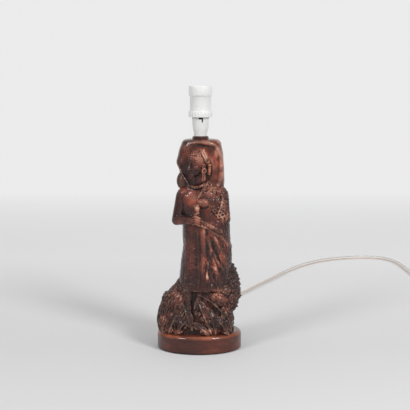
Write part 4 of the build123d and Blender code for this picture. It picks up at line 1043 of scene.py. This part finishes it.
def buildRightBrush():
    bm = formsOf(rightBrush)
    random = np.random.default_rng(7)
    rows = smoothRows(rightBrush["levels"][rightBrush["teethFrom"]:-1], 2)[1:]
    for height, x, y, halfWidth, halfDepth in rows:
        for turn in np.radians(np.arange(*rightBrush["teethTurns"])):  # ragged teeth round the outer side
            turn += random.uniform(-0.13, 0.13)
            lift = height + random.uniform(-1.6, 1.6)
            root = Vector((x + (halfWidth - 1.4) * cos(turn), y + (halfDepth - 1.4) * sin(turn), lift))
            tip = root + Vector((cos(turn), sin(turn), 0.12)) * random.uniform(*rightBrush["toothReach"])
            addLimb(bm, root, tip, *rightBrush["toothRadii"], facing=(0, 0, 1), detail=8)

    def cut(place, normal):
        return curls(place, 4.4) + curls(place + Vector((9, 3, 5)), 1.8) + 0.35 * grit(place, 1.3) - 0.3

    carvingPiece("carvedRightBrush", rightBrush, bm, cut)


foliage = {
    "wood": "toothedWood", "voxel": 0.6, "smoothing": 1, "onPlinth": True, "corner": 2.3,
    "levels": [(19, -1, -1, 32, 24.6), (34, -1, -1, 30, 22.6), (50, 1, -1, 28, 21), (66, 3, -1, 26, 20.5),
               (76, 4, -1, 24, 19)],
    "leaves": [  # root, tip, facing, width
        ((-31, -14, 50), (-43.5, -17.5, 21.6), (-0.6, -1, 0.3), 16),
        ((-38, -4, 46), (-47, -6, 22), (-1, -0.4, 0.2), 15),
        ((-21, -20.5, 57), (-9, -27.5, 28.5), (-0.1, -1, 0.2), 13),
        ((-9, -24.5, 44), (-28.5, -25.5, 22.2), (-0.2, -1, 0.35), 13),
        ((-24, -20, 46), (-36, -22.5, 23), (-0.4, -1, 0.3), 12),
        ((-4.5, -23, 61), (12.8, -29, 22.6), (0, -1, 0.2), 16),
        ((-9, -26, 35), (10, -29.6, 22.4), (0, -1, 0.4), 9),
        ((8, -23.5, 52), (17, -27.5, 24), (0.2, -1, 0.2), 12),
        ((12, -23, 44), (31.5, -24.6, 22.4), (0.3, -1, 0.35), 13),
        ((25, -19, 52), (35, -19, 22.6), (0.6, -1, 0.2), 14),
        ((32, -8, 48), (36.5, -9, 22.6), (1, -0.4, 0.2), 14)],
    "limbs": [  # legs
        ((-14, -17.4, 69), (-14, -25, 42), 5.6, 3.0, 0.8), ((-14, -25, 42), (-12.5, -26.6, 33), 3.0, 1.8),
        ((-1, -18.4, 68), (-3.2, -23, 55), 4.6, 3.2)],
    "ropes": [([(-4, -22.6, 67), (3.5, -25, 64), (11, -25.6, 59.5), (18, -24.6, 53.5), (24, -22.2, 46.5)],
               0.95, 0.8)],
    "backLeaves": 9, "backTurn": 8, "backStep": 20.5, "backWidth": 15,
}


def buildFoliage():
    bm = formsOf(foliage)
    for index in range(foliage["backLeaves"]):
        turn = radians(foliage["backTurn"] + foliage["backStep"] * index)
        c, s = cos(turn), sin(turn)
        addLeaf(bm, (-2 + 33 * c, 22 * s, 50 + 5 * (index % 2)), (-2 + 38.5 * c, 27 * s, 22.4), (c, s, 0.25),
                foliage["backWidth"])
    carvingPiece("carvedFoliage", foliage, bm, lambda place, normal: (
        0.15 * strokes(place, 1.9, 6) + 0.45 * grit(place, 5) + 0.1 * grit(place)))


for build in (buildHood, buildHead, buildTorso, buildShawl, buildRobe, buildLeftBrush, buildRightBrush,
              buildFoliage):
    build()
print("carving")

dressing = {  # the solids that show as they are
    "plinthWood": ("plinth", "neck_collar"), "feltCloth": ("felt_pad",), "insertPlastic": ("holder_insert",),
    "brassMetal": ("screw_shell", "centre_contact", "terminals", "threaded_rod", "rod_nut",
                   "switch_contacts"),
    "steelMetal": ("plinth_screws", "rod_washer", "terminal_screws", "rocker_pin", "switch_screws"),
    "fittingPlastic": ("exit_sleeve", "plug_body", "switch_base", "switch_cover", "switch_rocker"),
    "tieStrap": ("coil_tie",), "pinMetal": ("plug_pins",), "copperCore": ("inner_cores",),
    "clearLead": ("inner_lead",),
}
for material, nodes in dressing.items():
    for node in nodes:
        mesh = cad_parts[node].data
        mesh.materials.clear()
        mesh.materials.append(bpy.data.materials[material])
print("dressing")
